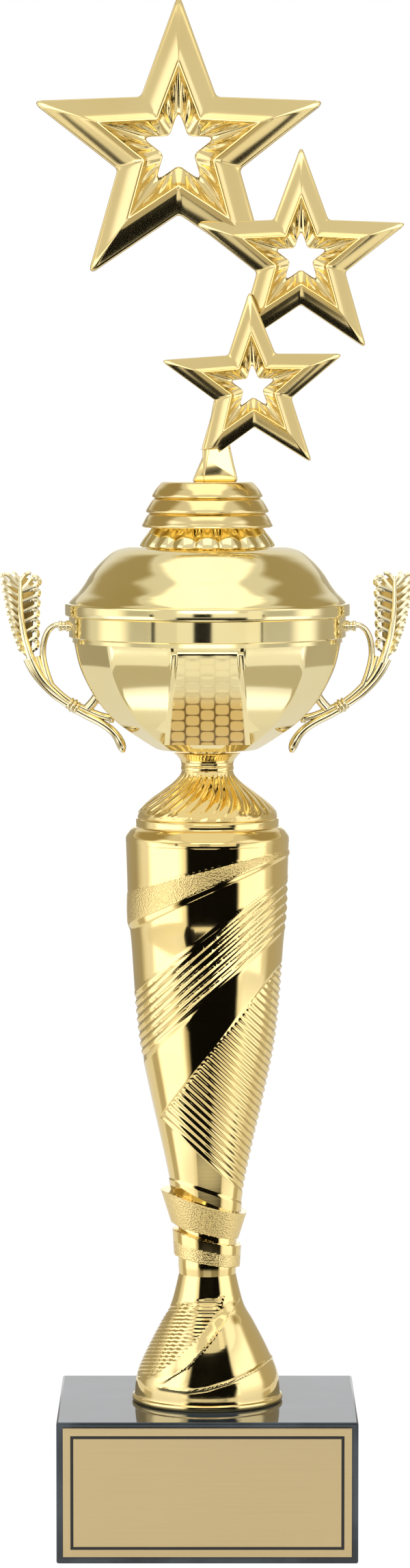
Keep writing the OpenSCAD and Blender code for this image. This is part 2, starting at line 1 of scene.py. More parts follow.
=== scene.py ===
import bpy
import bmesh
import math
import numpy as np
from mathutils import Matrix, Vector


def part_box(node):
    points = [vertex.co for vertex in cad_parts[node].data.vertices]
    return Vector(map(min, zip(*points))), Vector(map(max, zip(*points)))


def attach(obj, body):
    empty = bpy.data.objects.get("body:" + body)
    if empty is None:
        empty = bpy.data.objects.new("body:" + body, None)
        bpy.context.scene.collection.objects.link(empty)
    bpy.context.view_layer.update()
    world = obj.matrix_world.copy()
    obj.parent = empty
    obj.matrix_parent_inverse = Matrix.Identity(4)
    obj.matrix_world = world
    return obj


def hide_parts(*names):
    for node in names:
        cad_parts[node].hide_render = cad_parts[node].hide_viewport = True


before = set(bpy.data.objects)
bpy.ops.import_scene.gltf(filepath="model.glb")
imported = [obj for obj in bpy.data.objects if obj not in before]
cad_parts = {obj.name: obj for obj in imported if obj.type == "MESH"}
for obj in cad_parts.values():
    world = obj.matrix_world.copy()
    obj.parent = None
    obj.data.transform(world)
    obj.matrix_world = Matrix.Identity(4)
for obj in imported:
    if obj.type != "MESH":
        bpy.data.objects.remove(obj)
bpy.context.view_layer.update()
mm = 0.001


def clearAll():
    if bpy.context.object and bpy.context.object.mode != "OBJECT":
        bpy.ops.object.mode_set(mode="OBJECT")
    bpy.ops.object.select_all(action="DESELECT")


def pick(piece):
    clearAll()
    piece.select_set(True)
    bpy.context.view_layer.objects.active = piece


def smoothLine(points, parts):  # rounded line through given points
    line = []
    for i in range(len(points) - 1):
        a, b, c, d = (Vector(points[max(0, min(len(points) - 1, i + k))]) for k in (-1, 0, 1, 2))
        for k in range(parts):
            t = k / parts
            line.append(0.5 * (2 * b + (c - a) * t + (2 * a - 5 * b + 4 * c - d) * t * t
                               + (3 * b - a - 3 * c + d) * t ** 3))
    line.append(Vector(points[-1]))
    return line


def evenLine(points, gap):  # the same line with points about one gap apart
    pts = [np.array(p, float) for p in points]
    run = np.concatenate([[0], np.cumsum([np.linalg.norm(b - a) for a, b in zip(pts, pts[1:])])])
    count = max(2, int(round(run[-1] / gap)) + 1)
    marks = np.linspace(0, run[-1], count)
    cols = [np.interp(marks, run, [p[k] for p in pts]) for k in range(len(pts[0]))]
    return [tuple(row) for row in np.array(cols).T]


def turnLine(name, line, steps):  # turns a line of (radius, height) round the middle
    clearAll()
    bpy.ops.mesh.primitive_plane_add(size=mm)
    piece = bpy.context.object
    piece.name = piece.data.name = name
    bpy.ops.object.mode_set(mode="EDIT")
    bpy.ops.mesh.select_all(action="SELECT")
    bpy.ops.mesh.merge(type="CENTER")
    bpy.ops.transform.translate(value=(line[0][0], 0, line[0][1]))
    for a, b in zip(line, line[1:]):
        bpy.ops.mesh.extrude_region_move(
            TRANSFORM_OT_translate={"value": (b[0] - a[0], 0, b[1] - a[1])})
    bpy.ops.mesh.select_all(action="SELECT")
    bpy.ops.mesh.spin(steps=steps, angle=2 * math.pi, center=(0, 0, 0), axis=(0, 0, 1))
    closeUp()
    return piece


def closeUp(gap=0.004 * mm):
    bpy.ops.mesh.select_all(action="SELECT")
    bpy.ops.mesh.remove_doubles(threshold=gap)
    bpy.ops.mesh.normals_make_consistent(inside=False)
    bpy.ops.object.mode_set(mode="OBJECT")


def readPoints(piece):  # the x, the y and the z of all its points
    spots = np.empty(len(piece.data.vertices) * 3)
    piece.data.vertices.foreach_get("co", spots)
    return spots.reshape(-1, 3).T


def movePoints(piece, rule):  # rule(x, y, z) in metres gives the new x, y, z
    new = np.stack(rule(*readPoints(piece)), 1)
    piece.data.vertices.foreach_set("co", new.ravel())
    piece.data.update()


def turnAround(piece):  # half a turn round the upright axis
    movePoints(piece, lambda x, y, z: (-x, -y, z))


def addLayer(piece, name, values):  # one value for each point, for the materials to read
    piece.data.attributes.new(name, "FLOAT", "POINT").data.foreach_set("value", values)


def pressRelief(piece, rule):  # rule(angle, x, y, z) in mm gives how far the skin stands out
    def push(x, y, z):
        r = np.maximum(np.hypot(x, y), 1e-9)
        out = rule(np.arctan2(x, -y), x / mm, y / mm, z / mm) * mm * np.clip(r / mm, 0, 1)
        return x * (1 + out / r), y * (1 + out / r), z
    movePoints(piece, push)


def paintFaces(piece, slot, rule):  # rule(x, y, z) in mm says which faces take that slot
    count = len(piece.data.polygons)
    centre = np.empty(count * 3)
    piece.data.polygons.foreach_get("center", centre)
    centre = centre.reshape(-1, 3) / mm
    which = np.empty(count, np.int32)
    piece.data.polygons.foreach_get("material_index", which)
    which[rule(centre[:, 0], centre[:, 1], centre[:, 2])] = slot
    piece.data.polygons.foreach_set("material_index", which)


def smoothUp(piece, degrees=30):
    pick(piece)
    bpy.ops.object.shade_smooth_by_angle(angle=math.radians(degrees))


def keepFlat(piece, side):  # faces larger than a square of that side stay truly flat
    for face in piece.data.polygons:
        if face.area > side * side:
            face.use_smooth = False


def roundEdges(piece, width, degrees=30, segments=3):
    pick(piece)
    mod = piece.modifiers.new("edge", "BEVEL")
    mod.width, mod.segments, mod.limit_method = width, segments, "ANGLE"
    mod.angle_limit = math.radians(degrees)
    mod.harden_normals = False
    bpy.ops.object.modifier_apply(modifier=mod.name)


def bendBar(name, points, radii, sides=12):  # a round bar along points, its own radius at each
    clearAll()
    bpy.ops.curve.primitive_nurbs_path_add()
    curve = bpy.context.object
    data = curve.data
    data.splines.clear()
    spline = data.splines.new("POLY")
    spline.points.add(len(points) - 1)
    for k, (p, r) in enumerate(zip(points, radii)):
        spline.points[k].co = (*p, 1)
        spline.points[k].radius = r / mm
    data.dimensions = "3D"
    data.bevel_depth = mm
    data.bevel_resolution = max(0, sides // 4 - 1)
    data.use_fill_caps = True
    bpy.ops.object.convert(target="MESH")
    piece = bpy.context.object
    piece.name = piece.data.name = name
    bpy.ops.object.mode_set(mode="EDIT")
    closeUp()
    return piece


def addBlock(low, high):  # a box between two corners
    clearAll()
    bpy.ops.mesh.primitive_cube_add(size=1, location=(low + high) / 2)
    piece = bpy.context.object
    piece.scale = high - low
    bpy.ops.object.transform_apply(location=True, rotation=True, scale=True)
    return piece


def extrudedPlate(name, outline, thick, y, edge):  # a flat piece cut to an outline of (x, z)
    clearAll()
    bpy.ops.mesh.primitive_circle_add(vertices=len(outline), radius=1, fill_type="NGON")
    piece = bpy.context.object
    piece.name = piece.data.name = name
    count = len(outline)
    points = np.array(outline)

    def shape(x, yy, z):
        step = np.round(np.arctan2(yy, x) / (2 * math.pi) * count).astype(int) % count
        return points[step, 0] * mm, np.full(len(x), (y - thick / 2) * mm), points[step, 1] * mm
    movePoints(piece, shape)
    pick(piece)
    bpy.ops.object.mode_set(mode="EDIT")
    bpy.ops.mesh.select_all(action="SELECT")
    bpy.ops.mesh.extrude_region_move(TRANSFORM_OT_translate={"value": (0, thick * mm, 0)})
    closeUp()
    roundEdges(piece, edge * mm, 20, 3)
    return piece


def joinUp(name, pieces):
    clearAll()
    for p in pieces:
        p.select_set(True)
    bpy.context.view_layer.objects.active = pieces[0]
    if len(pieces) > 1:
        bpy.ops.object.join()
    piece = bpy.context.object
    piece.name = piece.data.name = name
    return piece


def cutBy(piece, centre, normal, keepBelow=True):
    pick(piece)
    bpy.ops.object.mode_set(mode="EDIT")
    bpy.ops.mesh.select_all(action="SELECT")
    bpy.ops.mesh.bisect(plane_co=centre, plane_no=normal, use_fill=True,
                        clear_outer=keepBelow, clear_inner=not keepBelow)
    bpy.ops.object.mode_set(mode="OBJECT")


def finishPiece(piece, materials, body, *nodes):
    pick(piece)
    bpy.ops.object.transform_apply(location=True, rotation=True, scale=True)
    which = np.zeros(len(piece.data.polygons), np.int32)
    piece.data.polygons.foreach_get("material_index", which)
    piece.data.materials.clear()
    for m in materials:
        piece.data.materials.append(m)
    piece.data.polygons.foreach_set("material_index", np.minimum(which, len(materials) - 1))
    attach(piece, body)
    if nodes:
        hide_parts(*nodes)
    return piece


def alongLine(line, z):  # the first number of a line of (x, z) or (radius, z), at that height
    return np.interp(z, [p[1] for p in line], [p[0] for p in line])


def ramp(low, high, value):  # an eased step from 0 to 1
    t = np.clip((value - low) / (high - low), 0, 1)
    return t * t * (3 - 2 * t)


def setInputs(node, values):
    for key, value in values.items():
        node.inputs[key.replace("_", " ")].default_value = value
    return node


def addNode(nodes, kind, **values):  # a shader node and the values of its inputs
    return setInputs(nodes.new(kind), values)


def addNoise(nodes, link, spot, **values):  # noise laid out on the piece's own coordinates
    noise = addNode(nodes, "ShaderNodeTexNoise", **values)
    link(spot, noise.inputs["Vector"])
    return noise


def addMix(nodes, link, share, **tones):  # a mix of two colours, A and B
    mix = nodes.new("ShaderNodeMix")
    mix.data_type = "RGBA"
    link(share, mix.inputs["Factor"])
    return setInputs(mix, tones)


def addMath(nodes, link, operation, *terms):  # each term is a socket or a plain number
    node = nodes.new("ShaderNodeMath")
    node.operation = operation
    for k, term in enumerate(terms):
        if isinstance(term, bpy.types.NodeSocket):
            link(term, node.inputs[k])
        else:
            node.inputs[k].default_value = term
    return node.outputs["Value"]


def addBump(nodes, link, height, strength, distance):  # shades the height into the finish
    bump = addNode(nodes, "ShaderNodeBump", Strength=strength, Distance=distance)
    link(height, bump.inputs["Height"])
    link(bump.outputs["Normal"], nodes["Principled BSDF"].inputs["Normal"])


def addGroup(nodes, group, **values):
    node = nodes.new("ShaderNodeGroup")
    node.node_tree = group
    return setInputs(node, values)


def newGroup(name, inputs, outputs):
    group = bpy.data.node_groups.new(name, "ShaderNodeTree")
    for title, kind, value in inputs:
        socket = group.interface.new_socket(name=title, in_out="INPUT", socket_type=kind)
        socket.default_value = value
    for title, kind in outputs:
        group.interface.new_socket(name=title, in_out="OUTPUT", socket_type=kind)
    return group, group.nodes.new("NodeGroupInput"), group.nodes.new("NodeGroupOutput")


def buildPlatedSkin():  # plated plastic: slow colour drift, faint waviness and small polish marks
    group, source, sink = newGroup(
        "platedSkin",
        [("Tone", "NodeSocketColor", (1, 1, 1, 1)), ("Deep tone", "NodeSocketColor", (1, 1, 1, 1)),
         ("Polish", "NodeSocketFloat", 0.08), ("Marks", "NodeSocketFloat", 0.06)],
        [("Color", "NodeSocketColor"), ("Roughness", "NodeSocketFloat"),
         ("Height", "NodeSocketFloat")])
    nodes, link = group.nodes, group.links.new
    spot = nodes.new("ShaderNodeTexCoord").outputs["Object"]
    drift = addNoise(nodes, link, spot, Scale=28, Detail=3)
    spread = addNode(nodes, "ShaderNodeMapRange", From_Min=0.35, From_Max=0.65)
    link(drift.outputs["Fac"], spread.inputs["Value"])
    tone = addMix(nodes, link, spread.outputs["Result"])
    link(source.outputs["Tone"], tone.inputs["A"])
    link(source.outputs["Deep tone"], tone.inputs["B"])
    link(tone.outputs["Result"], sink.inputs["Color"])
    marks = addNoise(nodes, link, spot, Scale=420, Detail=5, Roughness=0.7)
    haze = addMath(nodes, link, "MULTIPLY_ADD", marks.outputs["Fac"], source.outputs["Marks"],
                   source.outputs["Polish"])
    link(haze, sink.inputs["Roughness"])
    wave = addNoise(nodes, link, spot, Scale=90, Detail=1)
    link(wave.outputs["Fac"], sink.inputs["Height"])
    return group


def buildFrostGrain():  # etched grain: fine sparkling pits
    group, source, sink = newGroup(
        "frostGrain", [("Grain size", "NodeSocketFloat", 2300.0)],
        [("Height", "NodeSocketFloat"), ("Mask", "NodeSocketFloat")])
    nodes, link = group.nodes, group.links.new
    spot = nodes.new("ShaderNodeTexCoord").outputs["Object"]
    pits = nodes.new("ShaderNodeTexVoronoi")
    link(spot, pits.inputs["Vector"])
    fine = addNoise(nodes, link, spot, Detail=4)
    for layer in (pits, fine):
        link(source.outputs["Grain size"], layer.inputs["Scale"])
    both = addMath(nodes, link, "ADD", pits.outputs["Distance"], fine.outputs["Fac"])
    link(both, sink.inputs["Height"])
    link(fine.outputs["Fac"], sink.inputs["Mask"])
    return group


def buildFineDust():  # thin dust and handling marks, as a mask
    group, source, sink = newGroup(
        "fineDust", [("Amount", "NodeSocketFloat", 0.2), ("Spread", "NodeSocketFloat", 60.0)],
        [("Mask", "NodeSocketFloat")])
    nodes, link = group.nodes, group.links.new
    spot = nodes.new("ShaderNodeTexCoord").outputs["Object"]
    cloud = addNoise(nodes, link, spot, Detail=6)
    link(source.outputs["Spread"], cloud.inputs["Scale"])
    lift = addMath(nodes, link, "MULTIPLY", cloud.outputs["Fac"], source.outputs["Amount"])
    link(lift, sink.inputs["Mask"])
    return group


platedSkin = buildPlatedSkin()
frostGrain = buildFrostGrain()
fineDust = buildFineDust()


def tint(red, green, blue):  # a colour as it looks on screen, 0 to 255
    def lin(v):
        v /= 255
        return v / 12.92 if v <= 0.04045 else ((v + 0.055) / 1.055) ** 2.4
    return (lin(red), lin(green), lin(blue), 1)


def startMaterial(name):
    material = bpy.data.materials.new(name)
    material.use_nodes = True
    return material, material.node_tree.nodes, material.node_tree.links.new


def platedGold(name, tone, deepTone, polish, marks=0.05, wave=0.02, frost=0.0):
    material, nodes, link = startMaterial(name)
    shader = nodes["Principled BSDF"]
    shader.inputs["Metallic"].default_value = 1
    skin = addGroup(nodes, platedSkin, Tone=tone, Deep_tone=deepTone, Polish=polish, Marks=marks)
    link(skin.outputs["Color"], shader.inputs["Base Color"])
    link(skin.outputs["Roughness"], shader.inputs["Roughness"])
    relief = addGroup(nodes, frostGrain) if frost else skin
    addBump(nodes, link, relief.outputs["Height"], frost or wave, 0.1 * mm)
    return material


goldTones = {
    "column": (tint(243, 218, 150), tint(238, 210, 138)),
    "bowl": (tint(246, 230, 176), tint(240, 222, 160)),
    "handle": (tint(242, 229, 188), tint(234, 218, 170)),
    "figure": (tint(238, 216, 154), tint(233, 208, 142)),
}
columnGold = platedGold("columnGold", *goldTones["column"], polish=0.04)
columnFrost = platedGold("columnFrost", *goldTones["column"], polish=0.16, marks=0.2, frost=1.0)
bowlGold = platedGold("bowlGold", *goldTones["bowl"], polish=0.06, wave=0.008)
hammeredGoldPaintedLight = platedGold("hammeredPanelPaintedLightGold", *goldTones["bowl"], polish=0.07)


def paintCellReflectionAndShade(material):  # painted reflection and shade: the lower cells take a deeper amber painted reflection, and their edges a dark painted shade
    nodes, link = material.node_tree.nodes, material.node_tree.links.new
    shader = nodes["Principled BSDF"]
    last = shader.inputs["Base Color"].links[0].from_socket
    # painted reflection: amber on the lower cells; painted shade: dark along the cell edges
    for layer, tone in (("paintedLowReflection", tint(216, 178, 98)), ("paintedEdgeShade", tint(104, 76, 30))):
        mask = nodes.new("ShaderNodeAttribute")
        mask.attribute_name = layer
        mix = addMix(nodes, link, mask.outputs["Fac"], B=tone)
        link(last, mix.inputs["A"])
        last = mix.outputs["Result"]
    link(last, shader.inputs["Base Color"])


paintCellReflectionAndShade(hammeredGoldPaintedLight)
# dark gold for the web between the barbs: painted shade in the gaps
handleShadeGold = platedGold("handlePaintedShade", tint(150, 124, 66), tint(120, 96, 48), polish=0.22)
handleGold = platedGold("handleGold", *goldTones["handle"], polish=0.1, marks=0.05)
figureGold = platedGold("figureGold", *goldTones["figure"], polish=0.1, marks=0.03, wave=0.01)


def stoneMaterial():
    material, nodes, link = startMaterial("polishedBlackMarble")
    shader = setInputs(nodes["Principled BSDF"], {"Coat Roughness": 0.03, "IOR": 1.55})
    spot = nodes.new("ShaderNodeTexCoord").outputs["Object"]
    warp = addNoise(nodes, link, spot, Scale=34, Detail=8, Distortion=1.6)
    veins = nodes.new("ShaderNodeValToRGB")
    stops = veins.color_ramp.elements
    stops[0].position, stops[0].color = 0.42, tint(36, 42, 47)
    stops[1].position, stops[1].color = 0.60, tint(58, 66, 72)
    stops.new(0.515).color = tint(46, 53, 58)
    link(warp.outputs["Fac"], veins.inputs["Fac"])
    link(veins.outputs["Color"], shader.inputs["Base Color"])
    dust = addGroup(nodes, fineDust, Amount=0.06, Spread=70.0)
    link(dust.outputs["Mask"], shader.inputs["Roughness"])
    fleck = addNode(nodes, "ShaderNodeTexVoronoi", Scale=900)
    link(spot, fleck.inputs["Vector"])
    addBump(nodes, link, fleck.outputs["Distance"], 0.03, 0.05 * mm)
    return material


def plateMaterial():
    material, nodes, link = startMaterial("satinPlate")
    shader = nodes["Principled BSDF"]
    shader.inputs["Metallic"].default_value = 0.6
    spot = nodes.new("ShaderNodeTexCoord").outputs["Object"]
    stretch = addNode(nodes, "ShaderNodeMapping", Scale=(30, 30, 1800))
    link(spot, stretch.inputs["Vector"])
    brush = addNoise(nodes, link, stretch.outputs["Vector"], Scale=1, Detail=4)
    shade = addMix(nodes, link, brush.outputs["Fac"], A=tint(211, 189, 141), B=tint(204, 181, 133))
    link(shade.outputs["Result"], shader.inputs["Base Color"])
    dust = addGroup(nodes, fineDust, Amount=0.2, Spread=30.0)
    link(addMath(nodes, link, "ADD", dust.outputs["Mask"], 0.36), shader.inputs["Roughness"])
    addBump(nodes, link, brush.outputs["Fac"], 0.12, 0.02 * mm)
    return material


def plainMaterial(name, low, high, metallic, rough, scale, bumpStrength):
    material, nodes, link = startMaterial(name)
    shader = nodes["Principled BSDF"]
    shader.inputs["Metallic"].default_value = metallic
    spot = nodes.new("ShaderNodeTexCoord").outputs["Object"]
    grain = addNoise(nodes, link, spot, Scale=scale, Detail=5)
    shade = addMix(nodes, link, grain.outputs["Fac"], A=low, B=high)
    link(shade.outputs["Result"], shader.inputs["Base Color"])
    span = addNode(nodes, "ShaderNodeMapRange", To_Min=rough[0], To_Max=rough[1])
    link(grain.outputs["Fac"], span.inputs["Value"])
    link(span.outputs["Result"], shader.inputs["Roughness"])
    addBump(nodes, link, grain.outputs["Fac"], bumpStrength, 0.1 * mm)
    return material


blackStone = stoneMaterial()
satinPlate = plateMaterial()
blackLine = plainMaterial("blackPlateLine", tint(26, 25, 24), tint(36, 34, 32), 0, (0.35, 0.6), 900, 0.1)
zincSteel = plainMaterial("zincPlatedSteel", tint(176, 180, 184), tint(205, 208, 210), 1,
                          (0.22, 0.42), 600, 0.08)
feltPad = plainMaterial("blackFelt", tint(24, 24, 25), tint(52, 52, 54), 0, (0.85, 1), 2200, 0.8)
foamTape = plainMaterial("foamTape", tint(226, 222, 208), tint(240, 237, 226), 0, (0.6, 0.8), 1500, 0.3)
print("finishes are ready")

# boxes of the nodes, from the frame
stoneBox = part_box("stone_block")
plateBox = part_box("engraving_plate")
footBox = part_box("foot_bell")
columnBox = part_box("column_body")
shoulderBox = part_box("shoulder_cap")
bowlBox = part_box("bowl")
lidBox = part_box("lid")
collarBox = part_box("fluted_collar")
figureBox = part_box("figure_base")

eye = {"height": 0.300, "distance": 1.350, "side": -0.0006, "down": 4.425, "lens": 121.8}


def seenHeight(y, z):  # the slanting bands are laid out level with the eye, in mm
    return z + y * (eye["height"] / mm - z) / (eye["distance"] / mm)


def makeStone():
    block = {"edge": 0.5 * mm, "recess": 12 * mm, "recessDepth": 14 * mm, "bore": 2.6 * mm}
    low, high = stoneBox
    piece = addBlock(low, high)
    roundEdges(piece, block["edge"], segments=4)
    for radius, bottom, top in ((block["recess"], low.z - mm, low.z + block["recessDepth"]),
                                (block["bore"], low.z, high.z + mm)):
        clearAll()
        bpy.ops.mesh.primitive_cylinder_add(vertices=64, radius=radius, depth=top - bottom,
                                            location=(0, 0, (top + bottom) / 2))
        drill = bpy.context.object
        pick(piece)
        cut = piece.modifiers.new("drill", "BOOLEAN")
        cut.operation, cut.object, cut.solver = "DIFFERENCE", drill, "EXACT"
        bpy.ops.object.modifier_apply(modifier=cut.name)
        bpy.data.objects.remove(drill)
    piece.name = "stoneBlockPolished"
    smoothUp(piece, 40)
    keepFlat(piece, 6 * mm)
    finishPiece(piece, [blackStone], "stand", "stone_block")


def makePlate():
    plate = {"inset": 1.75 * mm, "line": 0.75 * mm, "sunk": 0.08 * mm, "edge": 0.12 * mm,
             "lip": 0.02 * mm, "trimTop": 0.25 * mm, "trimBottom": 0.9 * mm}
    low = plateBox[0] + Vector((0, 0, plate["trimBottom"]))
    high = plateBox[1] - Vector((0, 0, plate["trimTop"]))
    piece = addBlock(low, high)
    roundEdges(piece, plate["edge"], segments=2)
    bpy.ops.object.mode_set(mode="EDIT")
    bpy.ops.mesh.select_all(action="DESELECT")
    mesh = bmesh.from_edit_mesh(piece.data)
    front = max(mesh.faces, key=lambda f: f.calc_area() * max(0, -f.normal.y))
    front.select_set(True)
    bmesh.update_edit_mesh(piece.data)
    for step in (plate["inset"], plate["line"], plate["lip"]):
        bpy.ops.mesh.inset(thickness=step)
    wide = (high.x - low.x) / 2 - plate["edge"] - plate["inset"]
    tall = (high.z - low.z) / 2 - plate["edge"] - plate["inset"]
    midZ = (high.z + low.z) / 2
    mesh = bmesh.from_edit_mesh(piece.data)
    for f in mesh.faces:
        c = f.calc_center_median()
        inside = abs(c.x) < wide and abs(c.z - midZ) < tall and -f.normal.y > 0.99
        middle = abs(c.x) < mm and abs(c.z - midZ) < mm
        f.select_set(inside and not middle)
        f.material_index = 1 if inside and not middle else 0
    bmesh.update_edit_mesh(piece.data)
    bpy.ops.mesh.extrude_region_move(TRANSFORM_OT_translate={"value": (0, plate["sunk"], 0)})
    bpy.ops.object.mode_set(mode="OBJECT")
    piece.name = "engravingPlateFace"
    smoothUp(piece, 40)
    keepFlat(piece, 2.5 * mm)
    finishPiece(piece, [satinPlate, blackLine], "stand", "engraving_plate")


makeStone()
makePlate()
print("block and plate are ready")

foot = {
    "line": [(0.965, 0.06), (0.93, 0.22), (0.785, 0.42), (0.61, 0.62), (0.48, 0.76), (0.376, 1)],
    "rim": [(0, 0), (0.975, 0), (0.993, 0.008), (1, 0.022), (0.998, 0.036), (0.985, 0.047),
            (0.968, 0.052)],
    "gap": 0.26 * mm, "steps": 300,
    "ribPitch": 0.96, "ribDepth": 0.2,
    "fanEdge": [(-14.4, 42.2), (-7.9, 46.8), (-2.6, 51.6), (1.4, 57.0), (4.0, 61.5), (5.2, 64.4)],
    "ridge": [(-12.6, 39.9), (-5.2, 44.9), (0.9, 52.0), (5.8, 59.1), (8.3, 63.2)],
    "thread": [(-12.4, 39.7), (-5.6, 38.7), (-0.3, 39.3), (5.6, 41.0), (11.8, 44.0), (17.5, 48.6)],
    "fanTop": 63.0, "fanTopSlope": 0.174, "swell": 0.62, "threadHigh": 0.3, "threadWide": 0.42,
    "reliefZ": (38.6, 39.2, 66, 69), "hub": 6,
}


def footRelief(x, y, z):
    h = seenHeight(y, z)
    fan = alongLine(foot["fanEdge"], h)
    top = foot["fanTop"] + foot["fanTopSlope"] * x
    inFan = ramp(0, 0.7, fan - x) * ramp(0, 0.5, top - h) * ramp(41.8, 42.8, h)
    ribs = foot["ribDepth"] * (np.sin(np.pi * h / foot["ribPitch"]) ** 2 - 1.1) * inFan
    ridgeX = alongLine(foot["ridge"], h)
    span = np.maximum(ridgeX - fan, 1.2)
    swell = np.clip((x - fan) / span, 0, 1) ** 1.6 * (1 - ramp(-0.05, 0.4, x - ridgeX))
    crescent = foot["swell"] * swell * ramp(39.9, 43.0, h) * (1 - ramp(60.5, 64.0, h)) * (fan < x)
    line = np.interp(x, *zip(*foot["thread"]))
    thread = foot["threadHigh"] * np.exp(-((h - line) / foot["threadWide"]) ** 2)
    return ribs + crescent + thread * ramp(-13.2, -11.5, x)


def makeFoot():
    low, high = footBox
    tall, radius = high.z - low.z, high.x
    rim = [(r * radius, low.z + h * tall) for r, h in foot["rim"]]
    skin = smoothLine([(r * radius, low.z + h * tall) for r, h in foot["line"]], 8)
    line = evenLine(rim[1:-1], 0.2 * mm) + evenLine([rim[-1]] + skin, foot["gap"])
    line = [(0, low.z)] + line + [(0, high.z)]
    piece = turnLine("footBellPlated", line, foot["steps"])
    z0, z1, z2, z3 = foot["reliefZ"]
    pressRelief(piece, lambda angle, x, y, z: footRelief(x, y, z)
                * (np.hypot(x, y) > foot["hub"]) * ramp(z0, z1, z) * (1 - ramp(z2, z3, z)))
    smoothUp(piece, 35)
    finishPiece(piece, [columnGold], "stand", "foot_bell")


makeFoot()
print("foot is ready")

wraps = {
    "height": 18.7 * mm, "slant": 17, "hub": 7.45 * mm, "edge": 0.28 * mm,
    "upper": {"low": 0.59, "lowSlant": 14.1, "radii": (7.6, 12.0), "span": (0.42, 1.16)},
    "lower": {"low": 0.18, "lowSlant": 10.6, "high": 0.5, "highSlant": 13.8,
              "radii": (8.25, 9.0), "span": (0, 0.62)},
}
wrapZ = footBox[1].z
jointZ = wrapZ + wraps["height"]


def slantNormal(degrees):
    a = math.radians(degrees)
    return Vector((math.sin(a), 0, math.cos(a)))


def slantBand(name, sizes, highZ, highSlant):
    span = [wrapZ + s * wraps["height"] for s in sizes["span"]]
    r0, r1 = (r * mm for r in sizes["radii"])
    rows = evenLine([(r0, span[0]), (r1, span[1])], 0.4 * mm)
    piece = turnLine(name, [(0, span[0])] + rows + [(0, span[1])], 180)
    cutBy(piece, (0, 0, highZ), slantNormal(highSlant), True)
    lowZ = wrapZ + sizes["low"] * wraps["height"]
    cutBy(piece, (0, 0, lowZ), slantNormal(sizes["lowSlant"]), False)
    roundEdges(piece, wraps["edge"], degrees=35)
    return piece


def makeWraps():
    upper, lower = wraps["upper"], wraps["lower"]
    lowerTop = wrapZ + lower["high"] * wraps["height"]
    bands = [slantBand("upperWrap", upper, jointZ, wraps["slant"]),
             slantBand("lowerWrap", lower, lowerTop, lower["highSlant"])]
    hub = turnLine("wrapHub", [(0, wrapZ)] + evenLine(
        [(wraps["hub"] - 0.15 * mm, wrapZ), (wraps["hub"], wrapZ + 2 * mm),
         (wraps["hub"], jointZ + mm)], 0.5 * mm) + [(0, jointZ + mm)], 120)
    cutBy(hub, (0, 0, jointZ - 1 * mm), slantNormal(wraps["slant"]), True)
    piece = joinUp("wrapCollarPlated", [hub] + bands)

    def isFrosted(x, y, z):  # all of the upper band, the lower part of the lower one
        def under(share, slant, shift):
            level = wrapZ / mm + share * wraps["height"] / mm + shift
            return z + x * math.tan(math.radians(slant)) < level
        out = np.hypot(x, y) > 7.9
        high = under(1, wraps["slant"], -0.35) & ~under(upper["low"], upper["lowSlant"], 0.3)
        low = under(0.36, 12, 0) & ~under(lower["low"], lower["lowSlant"], 0.3)
        return out & (high | low)
    paintFaces(piece, 1, isFrosted)
    smoothUp(piece, 32)
    finishPiece(piece, [columnGold, columnFrost], "stand", "wrap_collar")


makeWraps()
print("wraps are ready")

column = {
    "line": [(0.39, -0.05), (0.455, 0.05), (0.562, 0.166), (0.7, 0.303), (0.823, 0.441),
             (0.89, 0.579), (0.933, 0.716), (0.974, 0.81), (0.986, 0.905), (1, 1)],
    "gapFine": 0.27 * mm, "gapPlain": 0.42 * mm, "steps": 330,
    "band": {"topZ": 173.3, "topSlope": 0.263, "frostZ": 168.8, "frostSlope": 0.443,
             "ledgeZ": 167.1, "ledgeSlope": 0.462, "proud": 0.42},
    "grooves": {"upperZ": 156.2, "upperSlope": 0.758, "lowerZ": 138.7, "lowerSlope": 0.95,
                "firstZ": 154.2, "slope": 0.87, "pitch": 2.35, "count": 6, "depth": 0.5},
    "ribs": {"upperZ": 125.8, "upperSlope": 1.276, "lowerZ": 98.4, "lowerSlope": -0.923,
             "pitch": 2.12, "depth": 0.36, "sink": 0.3},
    "fineShare": 0.68, "reliefTop": (178.5, 179.8), "hub": 15,
    "joint": {"above": 2.3, "slant": 19, "proud": 0.22},
}


def slopes(part, edge, x):  # the height of a slanting edge at x
    return part[edge + "Z"] + part[edge + "Slope"] * x


